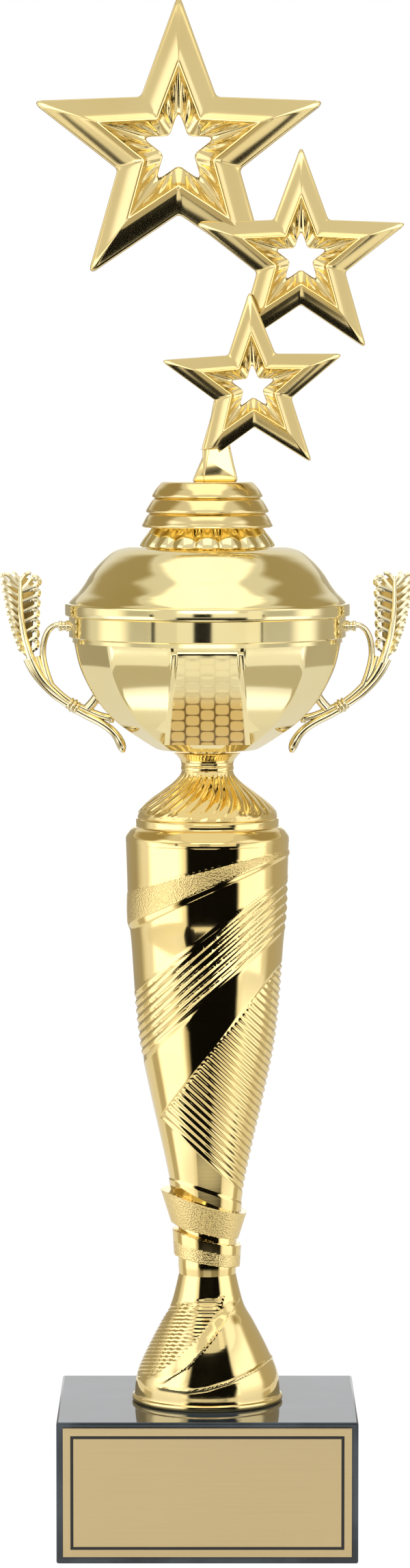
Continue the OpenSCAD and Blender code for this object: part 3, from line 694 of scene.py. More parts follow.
def columnRelief(x, y, z):
    h = seenHeight(y, z)
    band, grooves, ribs, joint = (column[k] for k in ("band", "grooves", "ribs", "joint"))
    top, frost = slopes(band, "top", x), slopes(band, "frost", x)
    ledge = np.minimum(slopes(band, "ledge", x), frost - 0.3)
    rise = band["proud"] * np.clip((top - h) / np.maximum(top - frost, 0.5), 0, 1) ** 0.8
    fall = ramp(0, 1, (h - ledge) / np.maximum(frost - ledge, 0.2))
    move = rise * fall * (h < top) * ramp(-0.6, 1.2, top - frost)
    move -= 0.1 * np.exp(-((h - top) / 0.22) ** 2)
    upper, lower = slopes(grooves, "upper", x), slopes(grooves, "lower", x)
    inside = ramp(0.2, 1.1, upper - h) * ramp(0.2, 1.2, h - lower)
    count = (grooves["firstZ"] + grooves["slope"] * x - h) / grooves["pitch"]
    wave = np.abs(np.sin(np.pi * count)) ** 0.8 - 0.75
    fade = 1 - ramp(grooves["count"] - 0.4, grooves["count"] + 0.2, count)
    move += grooves["depth"] * inside * (wave * fade - 0.35 * (1 - fade) * ramp(0, 3, h - lower))
    move += 0.14 * np.exp(-((h - upper) / 0.35) ** 2)
    ribTop, ribLow = slopes(ribs, "upper", x), slopes(ribs, "lower", x)
    zone = ramp(0, 0.9, ribTop - h) * ramp(-0.1, 0.5, h - ribLow)
    rib = np.sin(np.pi * (h - ribs["lowerSlope"] * x) / ribs["pitch"]) ** 2
    ends = ramp(0.3, 1.5, ribTop - h)
    move += zone * (ribs["depth"] * rib * ends - ribs["sink"])
    edge = (jointZ / mm + joint["above"]) - x * math.tan(math.radians(joint["slant"]))
    move += joint["proud"] * (1 - ramp(-0.2, 0.3, h - edge))
    return move


def inFrostBand(x, y, z):
    band = column["band"]
    h = seenHeight(y, z)
    return ((h < slopes(band, "top", x) - 0.12) & (h > slopes(band, "frost", x) + 0.1)
            & (np.hypot(x, y) > column["hub"]))


def makeColumn():
    high = columnBox[1]
    tall, radius = high.z - jointZ, high.x
    skin = smoothLine([(r * radius, jointZ + h * tall) for r, h in column["line"]], 10)
    fineTop = jointZ + column["fineShare"] * tall
    fine = [p for p in skin if p[1] <= fineTop]
    plain = [fine[-1]] + [p for p in skin if p[1] > fineTop]
    rows = evenLine(fine, column["gapFine"]) + evenLine(plain, column["gapPlain"])[1:]
    line = [(0, rows[0][1])] + rows + [(0, high.z)]
    piece = turnLine("columnPlated", line, column["steps"])
    pressRelief(piece, lambda angle, x, y, z: columnRelief(x, y, z)
                * (1 - ramp(*column["reliefTop"], z)))
    cutBy(piece, (0, 0, jointZ), slantNormal(wraps["slant"]), False)
    paintFaces(piece, 1, inFrostBand)
    smoothUp(piece, 40)
    finishPiece(piece, [columnGold, columnFrost], "stand", "column_body")


makeColumn()
print("column is ready")

shoulder = {
    "flutes": 28, "twist": 33, "depth": 0.75, "steps": 420,
    "ledge": [(1, 0), (1.003, 0.02), (1, 0.07), (0.985, 0.095), (0.94, 0.15), (0.905, 0.175),
              (0.878, 0.185), (0.872, 0.2), (0.876, 0.215), (0.876, 0.262), (0.868, 0.272),
              (0.852, 0.278), (0.858, 0.29)],
    "dome": [(0.858, 0.29), (0.838, 0.34), (0.775, 0.41), (0.66, 0.5), (0.525, 0.59), (0.41, 0.67),
             (0.338, 0.74), (0.318, 0.79)],
    "neck": [(0.318, 0.79), (0.316, 0.806), (0.323, 0.812), (0.323, 0.845), (0.316, 0.852),
             (0.32, 0.866), (0.321, 0.89), (0.335, 0.92), (0.375, 0.965), (0.408, 0.992),
             (0.412, 0.998), (0.404, 1)],
}


def shoulderRelief(angle, x, y, z):
    base = columnBox[1].z / mm
    tall = (shoulderBox[1].z - columnBox[1].z) / mm
    t = ((z - base) / tall - 0.285) / 0.5
    turn = shoulder["flutes"] * (angle - math.radians(shoulder["twist"]) * t ** 0.85)
    turn = np.where((t > 0) & (t < 1.05), turn, 0)
    bay = np.abs(np.sin(turn / 2))
    start = 0.03 + 0.16 * (1 - bay) ** 1.3
    body = ramp(0, 0.1, t - start) * (1 - ramp(0.86, 1.0, t))
    lean = 0.5 - 0.5 * np.cos(turn + 0.7 * np.sin(turn))
    scale = np.interp(np.hypot(x, y), [6.6, 18], [0.45, 1])
    return -shoulder["depth"] * scale * (1 - lean) * body + 0.16 * body * scale


def makeShoulder():
    low, high = columnBox[1].z, shoulderBox[1].z
    tall, radius = high - low, columnBox[1].x

    def place(points):
        return [(r * radius, low + h * tall) for r, h in points]
    dome = evenLine(smoothLine(place(shoulder["dome"]), 6), 0.24 * mm)
    ledge = evenLine(place(shoulder["ledge"]), 0.25 * mm)
    neck = evenLine(place(shoulder["neck"]), 0.2 * mm)
    line = [(0, low)] + ledge + dome[1:] + neck[1:] + [(0, high)]
    piece = turnLine("shoulderPlated", line, shoulder["steps"])
    pressRelief(piece, shoulderRelief)
    smoothUp(piece, 38)
    finishPiece(piece, [columnGold], "stand", "shoulder_cap")


makeShoulder()
print("shoulder is ready")

bowl = {
    "panel": [(0.372, 0), (0.495, 0.095), (0.668, 0.247), (0.788, 0.4), (0.873, 0.553),
              (0.958, 0.778), (1, 1)],
    "boss": (4.7, 0.8), "bandHeight": 5.4, "groove": (1.3, 0.9), "wall": 1.7, "floor": 2.6,
    "radius": 35.4, "bore": 2.6, "panels": 12, "steps": 360, "dish": 0.06, "softCorner": 0.006,
}
bowlZ, rimZ, bandR = bowlBox[0].z / mm, bowlBox[1].z / mm, bowl["radius"]
panelR = (bandR - bowl["groove"][1] / 2) * math.cos(math.pi / bowl["panels"])
panelLow = bowlZ + bowl["boss"][1]
panelHigh = rimZ - bowl["bandHeight"] - bowl["groove"][0]
panelLine = smoothLine([(r * panelR, panelLow + h * (panelHigh - panelLow)) for r, h in bowl["panel"]], 8)


def panelShape(angle):  # how much further out the skin is than the flat's middle
    half = math.pi / bowl["panels"]
    a = (angle + half) % (2 * half) - half
    corner = 1 / math.cos(half) - bowl["softCorner"] * (1 - ((half - np.abs(a)) / 0.035).clip(0, 1))
    return np.minimum(1 / np.cos(a), corner)


def makeBowl():
    count = len(panelLine)
    inner = [(r - bowl["wall"] * (0.75 + 0.25 * k / count), z + 0.9 * (1 - k / count))
             for k, (r, z) in enumerate(panelLine)]
    inner = [p for p in inner if panelLow + bowl["floor"] < p[1] < panelHigh - 0.2]
    innerR = bandR - bowl["wall"]
    band = rimZ - bowl["bandHeight"]
    outer = [(bowl["bore"], bowlZ), (bowl["boss"][0], bowlZ), (bowl["boss"][0], panelLow)]
    outer += evenLine(panelLine, 0.5)
    outer += [(bandR - 0.9, panelHigh + 0.05), (bandR - 0.95, band - 0.25), (bandR - 0.7, band - 0.05),
              (bandR - 0.15, band), (bandR, band + 0.15), (bandR, rimZ - 0.2), (bandR - 0.2, rimZ),
              (innerR + 0.2, rimZ), (innerR, rimZ - 0.2), (innerR, panelHigh + 0.4)]
    outer += evenLine(inner, 0.8)[::-1]
    outer += [(inner[0][0] - 1, panelLow + bowl["floor"]), (bowl["bore"], panelLow + bowl["floor"]),
              (bowl["bore"], bowlZ)]
    piece = turnLine("bowlPlated", [(r * mm, z * mm) for r, z in outer], bowl["steps"])

    def facet(x, y, z):
        r, angle = np.hypot(x, y), np.arctan2(y, x)
        inPanel = (z > (panelLow + 0.01) * mm) & (z < (panelHigh + 0.02) * mm) & (r > 9 * mm)
        factor = np.where(inPanel, panelShape(angle), 1)
        lift = (z / mm - panelLow) / (panelHigh - panelLow)
        half = math.pi / bowl["panels"]
        across = 1 - (np.abs((angle + half) % (2 * half) - half) / half) ** 2
        dish = bowl["dish"] * mm * across * np.clip(np.sin(math.pi * np.clip(lift, 0, 1)), 0, 1)
        factor = factor - np.where(inPanel, dish / np.maximum(r, 1e-6), 0)
        return x * factor, y * factor, z
    movePoints(piece, facet)
    smoothUp(piece, 26)
    finishPiece(piece, [bowlGold], "stand", "bowl")


hammered = {
    "top": 230.9, "bottom": 206.6, "halfTop": 9.0, "halfBottom": 10.9, "rib": 1.45,
    "pitch": (3.7, 2.9), "bump": 0.3, "proud": 0.35, "columns": 104, "rows": 180,
    # deepTone: the heights over which the amber painted reflection on the lower cells fades out
    "firstRow": 1.6, "ribHigh": 0.28, "deepTone": (216.5, 222.5),
}


def cellCrown(x, z):  # 1 at the crown of each cell and 0 at its edge
    wide, tall = hammered["pitch"]
    cell = np.round(x / wide)
    across = (x / wide - cell) * 2
    run = (hammered["top"] - hammered["firstRow"] - z) / tall
    run = run + np.where(cell.astype(int) % 2 == 0, 0.0, 0.5)
    along = (run - np.round(run)) * 2
    return np.clip(1 - np.abs(across) ** 2, 0, 1) * np.clip(1 - np.abs(along) ** 2, 0, 1)


def paintedCellLightLayers(piece):  # painted reflection and shade: where the lower cells take a deeper amber painted reflection, and their edges a dark painted shade
    x, z = readPoints(piece)[::2] / mm
    h = hammered
    half = np.interp(z, [h["bottom"], h["top"]], [h["halfBottom"], h["halfTop"]]) - h["rib"]
    inside = ramp(-0.3, 0.1, half - np.abs(x))
    # the lower cells, which take the amber painted reflection
    low = (1 - ramp(*h["deepTone"], z)) * inside
    addLayer(piece, "paintedLowReflection", 0.9 * low)
    # dark painted shade along the cell edges, strongest on the lower cells
    addLayer(piece, "paintedEdgeShade", (0.08 + 0.85 * low ** 1.5) * (1 - ramp(0.04, 0.3, cellCrown(x, z)))
             * inside * ramp(0.3, 1, h["top"] - z))


def makeHammered(name, turned):
    h = hammered
    clearAll()
    bpy.ops.mesh.primitive_grid_add(x_subdivisions=h["columns"], y_subdivisions=h["rows"], size=1)
    piece = bpy.context.object
    piece.name = piece.data.name = name
    bpy.ops.object.mode_set(mode="EDIT")
    bpy.ops.mesh.select_all(action="SELECT")
    bpy.ops.mesh.region_to_loop()
    bpy.ops.mesh.extrude_region_move(TRANSFORM_OT_translate={"value": (0, 0, -1)})
    bpy.ops.object.mode_set(mode="OBJECT")

    def shape(u, v, w):
        t = v + 0.5
        z = h["bottom"] + t * (h["top"] - h["bottom"])
        half = h["halfBottom"] + t ** 0.9 * (h["halfTop"] - h["halfBottom"])
        x = 2 * u * half
        skin = alongLine(panelLine, z)
        inset = half - np.abs(x)
        inside = ramp(0, 0.25, half - h["rib"] - np.abs(x)) * ramp(0.2, 0.8, h["top"] - z)
        ribShape = np.sqrt(np.clip(1 - ((inset - h["rib"] * 0.5) / (h["rib"] * 0.55)) ** 2, 0, 1))
        fading = (1 - 0.75 * ramp(0.35, 0.65, t)) * (1 - 0.8 * ramp(0.72, 0.9, t))
        rise = h["proud"] + inside * (h["bump"] * cellCrown(x, z) * fading - 0.06)
        rise = rise + (1 - inside) * h["ribHigh"] * ribShape
        front = -(skin + rise * ramp(-0.2, 1.2, h["top"] + 0.4 - z))
        side = skin - np.clip(np.abs(x) - skin * math.tan(math.pi / 12), 0, 99) * math.tan(math.pi / 6)
        back = -(side - 0.9)
        y = np.where(w < -0.5, np.maximum(back, front + 0.3), front)
        return x * mm, y * mm, z * mm
    movePoints(piece, shape)
    paintedCellLightLayers(piece)
    pick(piece)
    bpy.ops.object.mode_set(mode="EDIT")
    closeUp()
    if turned:
        turnAround(piece)
    smoothUp(piece, 40)
    finishPiece(piece, [hammeredGoldPaintedLight], "stand")


makeBowl()
makeHammered("hammeredPanelFront", False)
makeHammered("hammeredPanelBack", True)
print("bowl is ready")

lid = {
    "flange": 3.2, "radius": 36.4, "edge": 0.45, "wall": 1.7, "ring": (33.35, 3.0), "bore": 2.6,
    "steps": 256,
    "dome": [(35.4, 3.25), (35.0, 3.9), (34.1, 4.9), (32.8, 6.2), (31.3, 8.2), (29.95, 10.4),
             (28.4, 12.4), (26.4, 14.5), (23.9, 16.5), (21.0, 17.55), (18.2, 17.8)],
}


def makeLid():
    top = lidBox[1].z / mm - rimZ
    dome = evenLine(smoothLine(lid["dome"], 8), 0.35)
    r, e, f = lid["radius"], lid["edge"], lid["flange"]
    flange = [(r - e, 0), (r - 0.3 * e, 0.13), (r - 0.08 * e, 0.3), (r, 0.55), (r, f - 0.6),
              (r - 0.1 * e, f - 0.3), (r - 0.5 * e, f - 0.08), (r - 1.2 * e, f)]
    ringR, ringDeep = lid["ring"]
    inner = [(max(p[0] - lid["wall"], 3), p[1] - 0.55 * lid["wall"]) for p in dome if p[1] < 15.3]
    line = [(ringR - 1.6, 0.6), (ringR - 1.6, -ringDeep + 0.2), (ringR - 1.4, -ringDeep),
            (ringR - 0.2, -ringDeep), (ringR, -ringDeep + 0.2), (ringR, 0)]
    line += flange + dome + [(lid["bore"], top), (lid["bore"], top - 2)]
    line += [(inner[-1][0] - 2, top - 2)] + [p for p in inner[::-1] if p[0] < ringR - 1.7]
    line.append(line[0])
    piece = turnLine("lidPlated", [(a * mm, (rimZ + z) * mm) for a, z in line], lid["steps"])
    smoothUp(piece, 32)
    finishPiece(piece, [bowlGold], "lid", "lid")


collar = {"line": [(17.2, 0), (17.0, 0.5), (16.4, 1.5), (15.6, 2.6), (14.8, 3.6), (14.0, 4.6)],
          "lobes": 16, "depth": 1.15, "bore": 2.6, "steps": 384}


def makeCollar():
    base = collarBox[0].z / mm
    rows = evenLine(smoothLine(collar["line"], 4), 0.3)
    line = [(collar["bore"], 0)] + rows + [(collar["bore"], rows[-1][1]), (collar["bore"], 0)]
    line = [(r * mm, (base + z) * mm) for r, z in line]
    piece = turnLine("flutedCollarPlated", line, collar["steps"])

    def lobes(angle, x, y, z):
        swell = np.abs(np.cos(collar["lobes"] * angle / 2))
        return (np.hypot(x, y) > 9) * collar["depth"] * (swell ** 0.8 - 1)
    pressRelief(piece, lobes)
    smoothUp(piece, 40)
    finishPiece(piece, [bowlGold], "lid", "fluted_collar")


makeLid()
makeCollar()
print("lid and collar are ready")

handle = {
    "branch": [(36.0, 235.9, 0.72), (37.4, 236.15, 0.72), (38.8, 236.05, 0.72), (40.2, 235.1, 0.74),
               (41.2, 233.4, 0.76), (41.8, 231.0, 0.78), (41.9, 228.2, 0.8), (41.3, 225.2, 0.8),
               (40.5, 222.7, 0.8), (39.8, 220.9, 0.8)],
    "stemOuter": [(46.3, 227.4, 0.7), (44.6, 224.3, 0.8), (42.5, 221.5, 0.8), (39.7, 218.7, 0.8),
                  (37.0, 216.7, 0.8), (34.4, 215.1, 0.8)],
    "stemInner": [(43.4, 228.2, 0.7), (42.4, 225.0, 0.7), (41.0, 222.5, 0.7), (39.0, 220.2, 0.7),
                  (36.8, 218.2, 0.65), (34.2, 216.3, 0.65)],
    "stemMiddle": [(44.9, 227.6, 1.2), (43.5, 224.6, 1.15), (41.7, 221.9, 1.0), (39.4, 219.5, 0.75),
                   (37.0, 217.5, 0.5), (34.4, 215.7, 0.4)],
    "bar": [(34.6, 215.2, 0.95), (31.1, 213.2, 1.0), (27.9, 211.6, 1.0), (25.2, 209.9, 1.05),
            (23.3, 208.0, 1.1), (22.2, 206.1, 1.2), (21.7, 204.6, 1.0), (21.5, 203.6, 0.45)],
    "hook": [(33.4, 215.9, 0.75), (30.4, 214.4, 0.8), (27.6, 213.2, 0.85), (25.6, 212.6, 0.9),
             (24.6, 212.2, 0.85), (24.5, 211.2, 0.6)],
    "knot": (34.2, 215.6), "knotTurn": 33,
    "lug": [(30.6, 214.8, 1.3), (29.6, 215.9, 1.25), (28.7, 217.0, 1.25), (27.7, 218.3, 1.4)],
    "rib": [(44.7, 226.6, 1.15), (45.6, 229.6, 1.1), (46.6, 233.0, 1.0), (47.3, 237.2, 0.95),
            (47.65, 241.5, 0.85), (47.7, 248.6, 0.6)],
    "outerWide": [(228.4, 3.0), (232.7, 3.3), (241, 4.1), (248, 5.0), (251, 4.4)],
    "innerWide": [(228.4, 1.8), (232.7, 3.4), (237, 4.4), (241, 5.0), (246, 5.5), (248.6, 4.4)],
    "barbs": (228.6, 246.2, 1.92), "curls": (229.4, 245.2, 2.6),  # first, last, step up the rib
    # beside the rib: side, share of the leaf's width, height and radius
    "barb": [(0.3, 0, -0.5, 0.5), (0, 0.45, 0.4, 0.5), (0, 0.8, 1.5, 0.82), (0, 0.97, 2.7, 0.62),
             (0, 1.0, 3.5, 0.22)],
    "curl": [(-0.3, 0, -0.4, 0.55), (0, -0.5, 0.35, 0.62), (0, -0.92, 1.2, 0.78), (0, -1.0, 2.4, 0.7),
             (0, -0.72, 3.0, 0.6), (0, -0.55, 2.3, 0.4)],
    "crown": [
        [(47.6, 245.6, 0.6), (49.0, 247.0, 0.65), (50.4, 248.6, 0.7), (51.6, 249.1, 0.5),
         (52.4, 248.6, 0.25)],
        [(47.7, 247.0, 0.6), (48.6, 248.4, 0.7), (49.2, 249.3, 0.6), (49.6, 249.7, 0.3)],
        [(47.6, 247.0, 0.6), (46.7, 248.5, 0.75), (45.7, 249.3, 0.6), (44.9, 249.2, 0.45)],
        [(47.4, 245.0, 0.6), (45.8, 246.5, 0.7), (44.4, 248.2, 0.8), (43.2, 248.0, 0.75),
         (42.7, 246.9, 0.6), (43.4, 246.2, 0.45)]],
    "pegZ": 235.9, "pegEdge": 0.18,  # pegs: radius, and where each starts and ends
    "pegs": ((1.45, 35.2, 36.0), (1.15, 35.9, 37.1), (1.35, 37.0, 37.9)),
}


def handleBar(name, points, parts=4, sides=12, deep=0.0):
    path = smoothLine(points, parts)
    return bendBar(name, [(p[0] * mm, deep * mm, p[1] * mm) for p in path],
                   [max(p[2], 0.2) * mm for p in path], sides)


def ribAt(z):
    return alongLine(handle["rib"], z)


def makeLeaf(name):  # a plume: a curved rib, short curled barbs with gaps beside the rib
    parts = [handleBar(name + "Rib", handle["rib"], 4, 16)]
    for title, rows, points, edge, ahead, less, smooth in (
            ("Barb", "barbs", "barb", "outerWide", 2.2, 0.3, 4),
            ("Curl", "curls", "curl", "innerWide", 1.8, 0.7, 5)):
        for z in np.arange(*handle[rows]):
            x, wide = ribAt(z), np.interp(z + ahead, *zip(*handle[edge])) - less
            line = [(x + side + share * wide, z + up, r) for side, share, up, r in handle[points]]
            parts.append(handleBar(name + title, line, smooth, 10))
    for line in handle["crown"]:
        parts.append(handleBar(name + "Crown", line, 5, 10))
    return joinUp(name, parts)


def makeLeafShadeWeb(name, turned):  # the thin dark web that closes the gaps between the barbs, a sheet of painted shade in those gaps
    heights = np.linspace(229, 246.5, 10)
    outer = [(ribAt(z) + np.interp(z, *zip(*handle["outerWide"])) - 1.1, z) for z in heights]
    inner = [(ribAt(z) - np.interp(z, *zip(*handle["innerWide"])) + 1.5, z) for z in heights]
    outline = [(44.9, 227.6)] + outer + [(49.6, 247.9), (47.6, 248.3), (45.6, 248.0)] + inner[::-1]
    piece = extrudedPlate(name, outline, 0.4, 0.0, 0.1)
    if turned:
        turnAround(piece)
    smoothUp(piece, 40)
    finishPiece(piece, [handleShadeGold], "stand")


def knotRings(name):
    cx, cz = handle["knot"]
    a = math.radians(handle["knotTurn"])
    rings = []
    for k, size in ((-1, 1.2), (0, 1.4), (1, 1.2)):
        clearAll()
        bpy.ops.mesh.primitive_torus_add(
            major_radius=size * mm, minor_radius=0.5 * mm, major_segments=32, minor_segments=10,
            location=((cx + 1.0 * k * math.cos(a)) * mm, 0, (cz + 1.0 * k * math.sin(a)) * mm),
            rotation=(0, math.pi / 2 - a, 0))
        rings.append(bpy.context.object)
        bpy.ops.object.transform_apply(location=True, rotation=True, scale=True)
    return joinUp(name, rings)


def makeHandle(name, node, turned):
    parts = [handleBar(name + "Middle", handle["stemMiddle"], 4, 16, 0.25),
             knotRings(name + "Knot"), makeLeaf(name + "Leaf")]
    for bar in ("branch", "stemOuter", "stemInner", "bar", "hook", "lug"):
        parts.append(handleBar(name + bar.capitalize(), handle[bar]))
    for r, x0, x1 in handle["pegs"]:
        clearAll()
        bpy.ops.mesh.primitive_cylinder_add(vertices=28, radius=r * mm, depth=(x1 - x0) * mm,
                                            location=((x0 + x1) / 2 * mm, 0, handle["pegZ"] * mm),
                                            rotation=(0, math.pi / 2, 0))
        bpy.ops.object.transform_apply(location=True, rotation=True, scale=True)
        roundEdges(bpy.context.object, handle["pegEdge"] * mm, 40, 2)
        parts.append(bpy.context.object)
    piece = joinUp(name, parts)
    if turned:
        turnAround(piece)
    smoothUp(piece, 50)
    finishPiece(piece, [handleGold], "stand", node)


makeHandle("handleRightCast", "handle_right", False)
makeHandle("handleLeftCast", "handle_left", True)
makeLeafShadeWeb("handleRightShadeWeb", False)
makeLeafShadeWeb("handleLeftShadeWeb", True)
print("handles are ready")

figure = {
    "tiers": [(15.9, 0.0), (16.5, 0.08), (16.7, 0.35), (16.62, 0.75), (16.35, 1.25), (15.95, 2.1),
              (15.35, 3.1), (14.9, 3.55), (14.75, 3.72), (15.45, 3.78), (15.68, 4.05), (15.6, 4.45),
              (15.25, 5.1), (14.75, 5.95), (14.1, 6.9), (13.6, 7.4), (13.35, 7.58), (13.9, 7.64),
              (14.12, 7.9), (14.05, 8.25), (13.7, 8.9), (13.15, 9.8), (12.4, 10.7), (11.9, 11.25),
              (11.5, 11.55), (11.2, 11.6)],
    "bore": (4.7, 4.2), "steps": 192,
    "small": {"tip": 23.6, "at": (11.54, 24.0), "y": -2.2, "turn": 2},
    "medium": {"tip": 27.4, "at": (23.73, 56.6), "y": 0.0, "turn": 0},
    "large": {"tip": 37.9, "at": (-7.27, 83.97), "y": 2.2, "turn": 0},
}
figureZ = figureBox[0].z / mm
legZ = figureBox[1].z / mm


def makeFigureBase():
    bore, deep = figure["bore"]
    rows = evenLine(smoothLine(figure["tiers"], 3), 0.22)
    line = [(0, deep), (bore, deep), (bore, 0)] + rows + [(0, figure["tiers"][-1][1])]
    line = [(r * mm, (figureZ + z) * mm) for r, z in line]
    piece = turnLine("figureBasePlated", line, figure["steps"])
    smoothUp(piece, 34)
    finishPiece(piece, [figureGold], "lid", "figure_base")


makeFigureBase()
print("figure base is ready")

star = {
    "notch": 0.43, "crest": 0.565, "hole": 0.228, "holeNotch": 0.46,
    "edgeThick": 0.075, "crestThick": 0.135, "holeThick": 0.055,
    "fluteDepth": 0.018, "edgeSteps": 26, "cornerSteps": 9,
}


def starLine(tip, notch, tipRound, notchRound):  # five tips and notches with rounded corners
    corners = []
    for k in range(10):
        a = math.pi / 2 + k * math.pi / 5
        r = tip + 0.47 * tipRound if k % 2 == 0 else notch
        corners.append((np.array((r * math.cos(a), r * math.sin(a))),
                        tipRound if k % 2 == 0 else notchRound))
    points, share = [], []
    for k in range(10):
        here, cut = corners[k]
        last, after = corners[k - 1], corners[(k + 1) % 10]
        inward = here + (last[0] - here) / np.linalg.norm(last[0] - here) * cut
        onward = here + (after[0] - here) / np.linalg.norm(after[0] - here) * cut
        for s in range(star["cornerSteps"]):
            t = s / (star["cornerSteps"] - 1)
            points.append((1 - t) ** 2 * inward + 2 * t * (1 - t) * here + t * t * onward)
            share.append(0.0 if k % 2 == 0 else 1.0)
        target = after[0] + (here - after[0]) / np.linalg.norm(here - after[0]) * after[1]
        for s in range(1, star["edgeSteps"]):
            t = s / star["edgeSteps"]
            points.append(onward + (target - onward) * t)
            share.append(t if k % 2 == 0 else 1 - t)
    return np.array(points), np.array(share)


def starRings(tip):
    crest, hole = star["crest"] * tip, star["hole"] * tip
    thick = star["crestThick"] * tip
    edge, holeThick = star["edgeThick"] * tip, star["holeThick"] * tip
    soft, drop = 0.03 * tip, 0.012 * tip
    rows = []

    def add(outer, inner, tipRound, notchRound, y, flute=0.0):
        points, share = starLine(outer, inner, tipRound, notchRound)
        groove = np.sin(math.pi * np.clip((share - 0.08) / 0.84, 0, 1) * 2) ** 2
        rows.append((points, y - flute * groove * (1.1 - 0.5 * share)))
    n = star["notch"]
    rim = 0.022 * tip  # the outside edge is a rounded lip
    for t in (0.0, 0.3, 0.55, 0.78, 1.0):
        a = t * math.pi / 2
        s = tip - rim * 0.9 * (1 - math.cos(a))
        add(s, s * n, 2.8 * soft, soft, edge - rim * (1 - math.sin(a)))
    lip, high = tip - rim * 0.9, crest + 0.045 * tip
    for t in (0.06, 0.2, 0.5, 0.8, 1.0):
        s = lip + (high - lip) * t
        sag = 0.006 * tip * math.sin(math.pi * t)
        add(s, s * n, soft * (2.6 - 2.1 * t ** 0.5), soft, edge + (thick - drop - edge) * t - sag)
    for t in (0.2, 0.4, 0.6, 0.8):
        a = (t - 0.5) * math.pi
        s = crest - 0.022 * tip * math.sin(a)
        add(s, s * n, soft * 0.6, soft * 0.6, thick + drop * math.cos(a) - 0.008 * tip)
    inset = crest - 0.04 * tip
    for t in (0.0, 0.15, 0.32, 0.5, 0.68, 0.85, 0.96):
        s = inset + (hole * 1.08 - inset) * t
        ratio = n + (star["holeNotch"] - n) * t
        add(s, s * ratio, soft * (0.6 + 1.9 * t), soft * (0.6 + 0.6 * t),
            thick - drop - (thick - drop - holeThick) * t ** 0.85,
            star["fluteDepth"] * tip * math.sin(math.pi * min(1, max(0, t * 1.1 - 0.03))) ** 0.8)
    for t in (0.25, 0.55, 0.8, 1.0):
        a = t * math.pi / 2
        s = hole * (1.07 - 0.07 * math.sin(a))
        add(s, s * star["holeNotch"], 2.5 * soft, 1.2 * soft,
            holeThick + 0.01 * tip * math.cos(a) - drop * t)
    return rows


def makeStar(name, spec):
    tip = spec["tip"]
    rows = starRings(tip)
    loops = [(p, -y) for p, y in rows] + [(p, y) for p, y in reversed(rows)]
    count = len(loops[0][0])
    clearAll()
    bpy.ops.mesh.primitive_circle_add(vertices=count, radius=1)
    piece = bpy.context.object
    piece.name = piece.data.name = name
    bpy.ops.object.mode_set(mode="EDIT")
    bpy.ops.mesh.select_all(action="SELECT")
    for k in range(len(loops) - 1):
        bpy.ops.mesh.extrude_region_move(TRANSFORM_OT_translate={"value": (0, 0, 1)})
    bpy.ops.object.mode_set(mode="OBJECT")
    a = math.radians(spec["turn"])
    turned = np.array([[math.cos(a), -math.sin(a)], [math.sin(a), math.cos(a)]])
    centre = np.array((spec["at"][0], legZ + spec["at"][1]))
    table = []
    for points, y in loops:
        flat = points @ turned.T + centre
        table.append(np.stack([flat[:, 0], np.broadcast_to(y, count) + spec["y"], flat[:, 1]], 1))
    table = np.array(table)

    def shape(x, y, z):
        level = np.round(z).astype(int)
        step = np.round(np.arctan2(y, x) / (2 * math.pi) * count).astype(int) % count
        p = table[level, step] * mm
        return p[:, 0], p[:, 1], p[:, 2]
    movePoints(piece, shape)
    pick(piece)
    bpy.ops.object.mode_set(mode="EDIT")
    bpy.ops.mesh.select_all(action="DESELECT")
    mesh = bmesh.from_edit_mesh(piece.data)
    for e in mesh.edges:
        e.select_set(len(e.link_faces) == 1)
    bpy.ops.mesh.bridge_edge_loops()
    closeUp(0.0008 * mm)
    return piece


leg = {
    "sides": [(-0.655, -1.017), (-0.16, -1.017), (-0.175, -0.93), (-0.2, -0.84), (-0.235, -0.68),
              (-0.26, -0.53), (-0.22, -0.36), (-0.21, -0.2), (-0.3, 0.0), (-0.42, -0.14),
              (-0.475, -0.45), (-0.54, -0.75)],
    "blade": [(-3.85, 0), (-0.95, 0), (0.7, 9.6), (2.3, 16.5), (0.9, 16.5), (-1.3, 9.0)],
    "thick": 4.6, "bladeThick": 6.2, "lean": 0.27,
}
web = {"sides": [(-0.5, 0.28), (-0.42, 0.34), (-0.2, 0.34), (-0.12, 0.28), (-0.2, 0.14), (-0.45, 0.14)],
       "thick": 4, "y": 0.4}


def makeLeg():
    s = figure["small"]["tip"]
    cx, cz = figure["small"]["at"]
    plate = extrudedPlate("smallStarLeg", [(cx + x * s, legZ + cz + z * s) for x, z in leg["sides"]],
                          leg["thick"], 0.0, 0.8)
    blade = extrudedPlate("smallStarBlade", [(x, legZ + z) for x, z in leg["blade"]],
                          leg["bladeThick"], 0.0, 0.3)
    bladeX, bladeZ = zip(*leg["blade"][1:4])

    def lean(x, y, z):  # its faces turn away from the pale face beside it
        back = leg["lean"] * np.maximum(np.interp(z / mm - legZ, bladeZ, bladeX) * mm - x, 0)
        return x, y - np.sign(y) * back, z
    movePoints(blade, lean)
    return joinUp("smallStarLeg", [plate, blade])


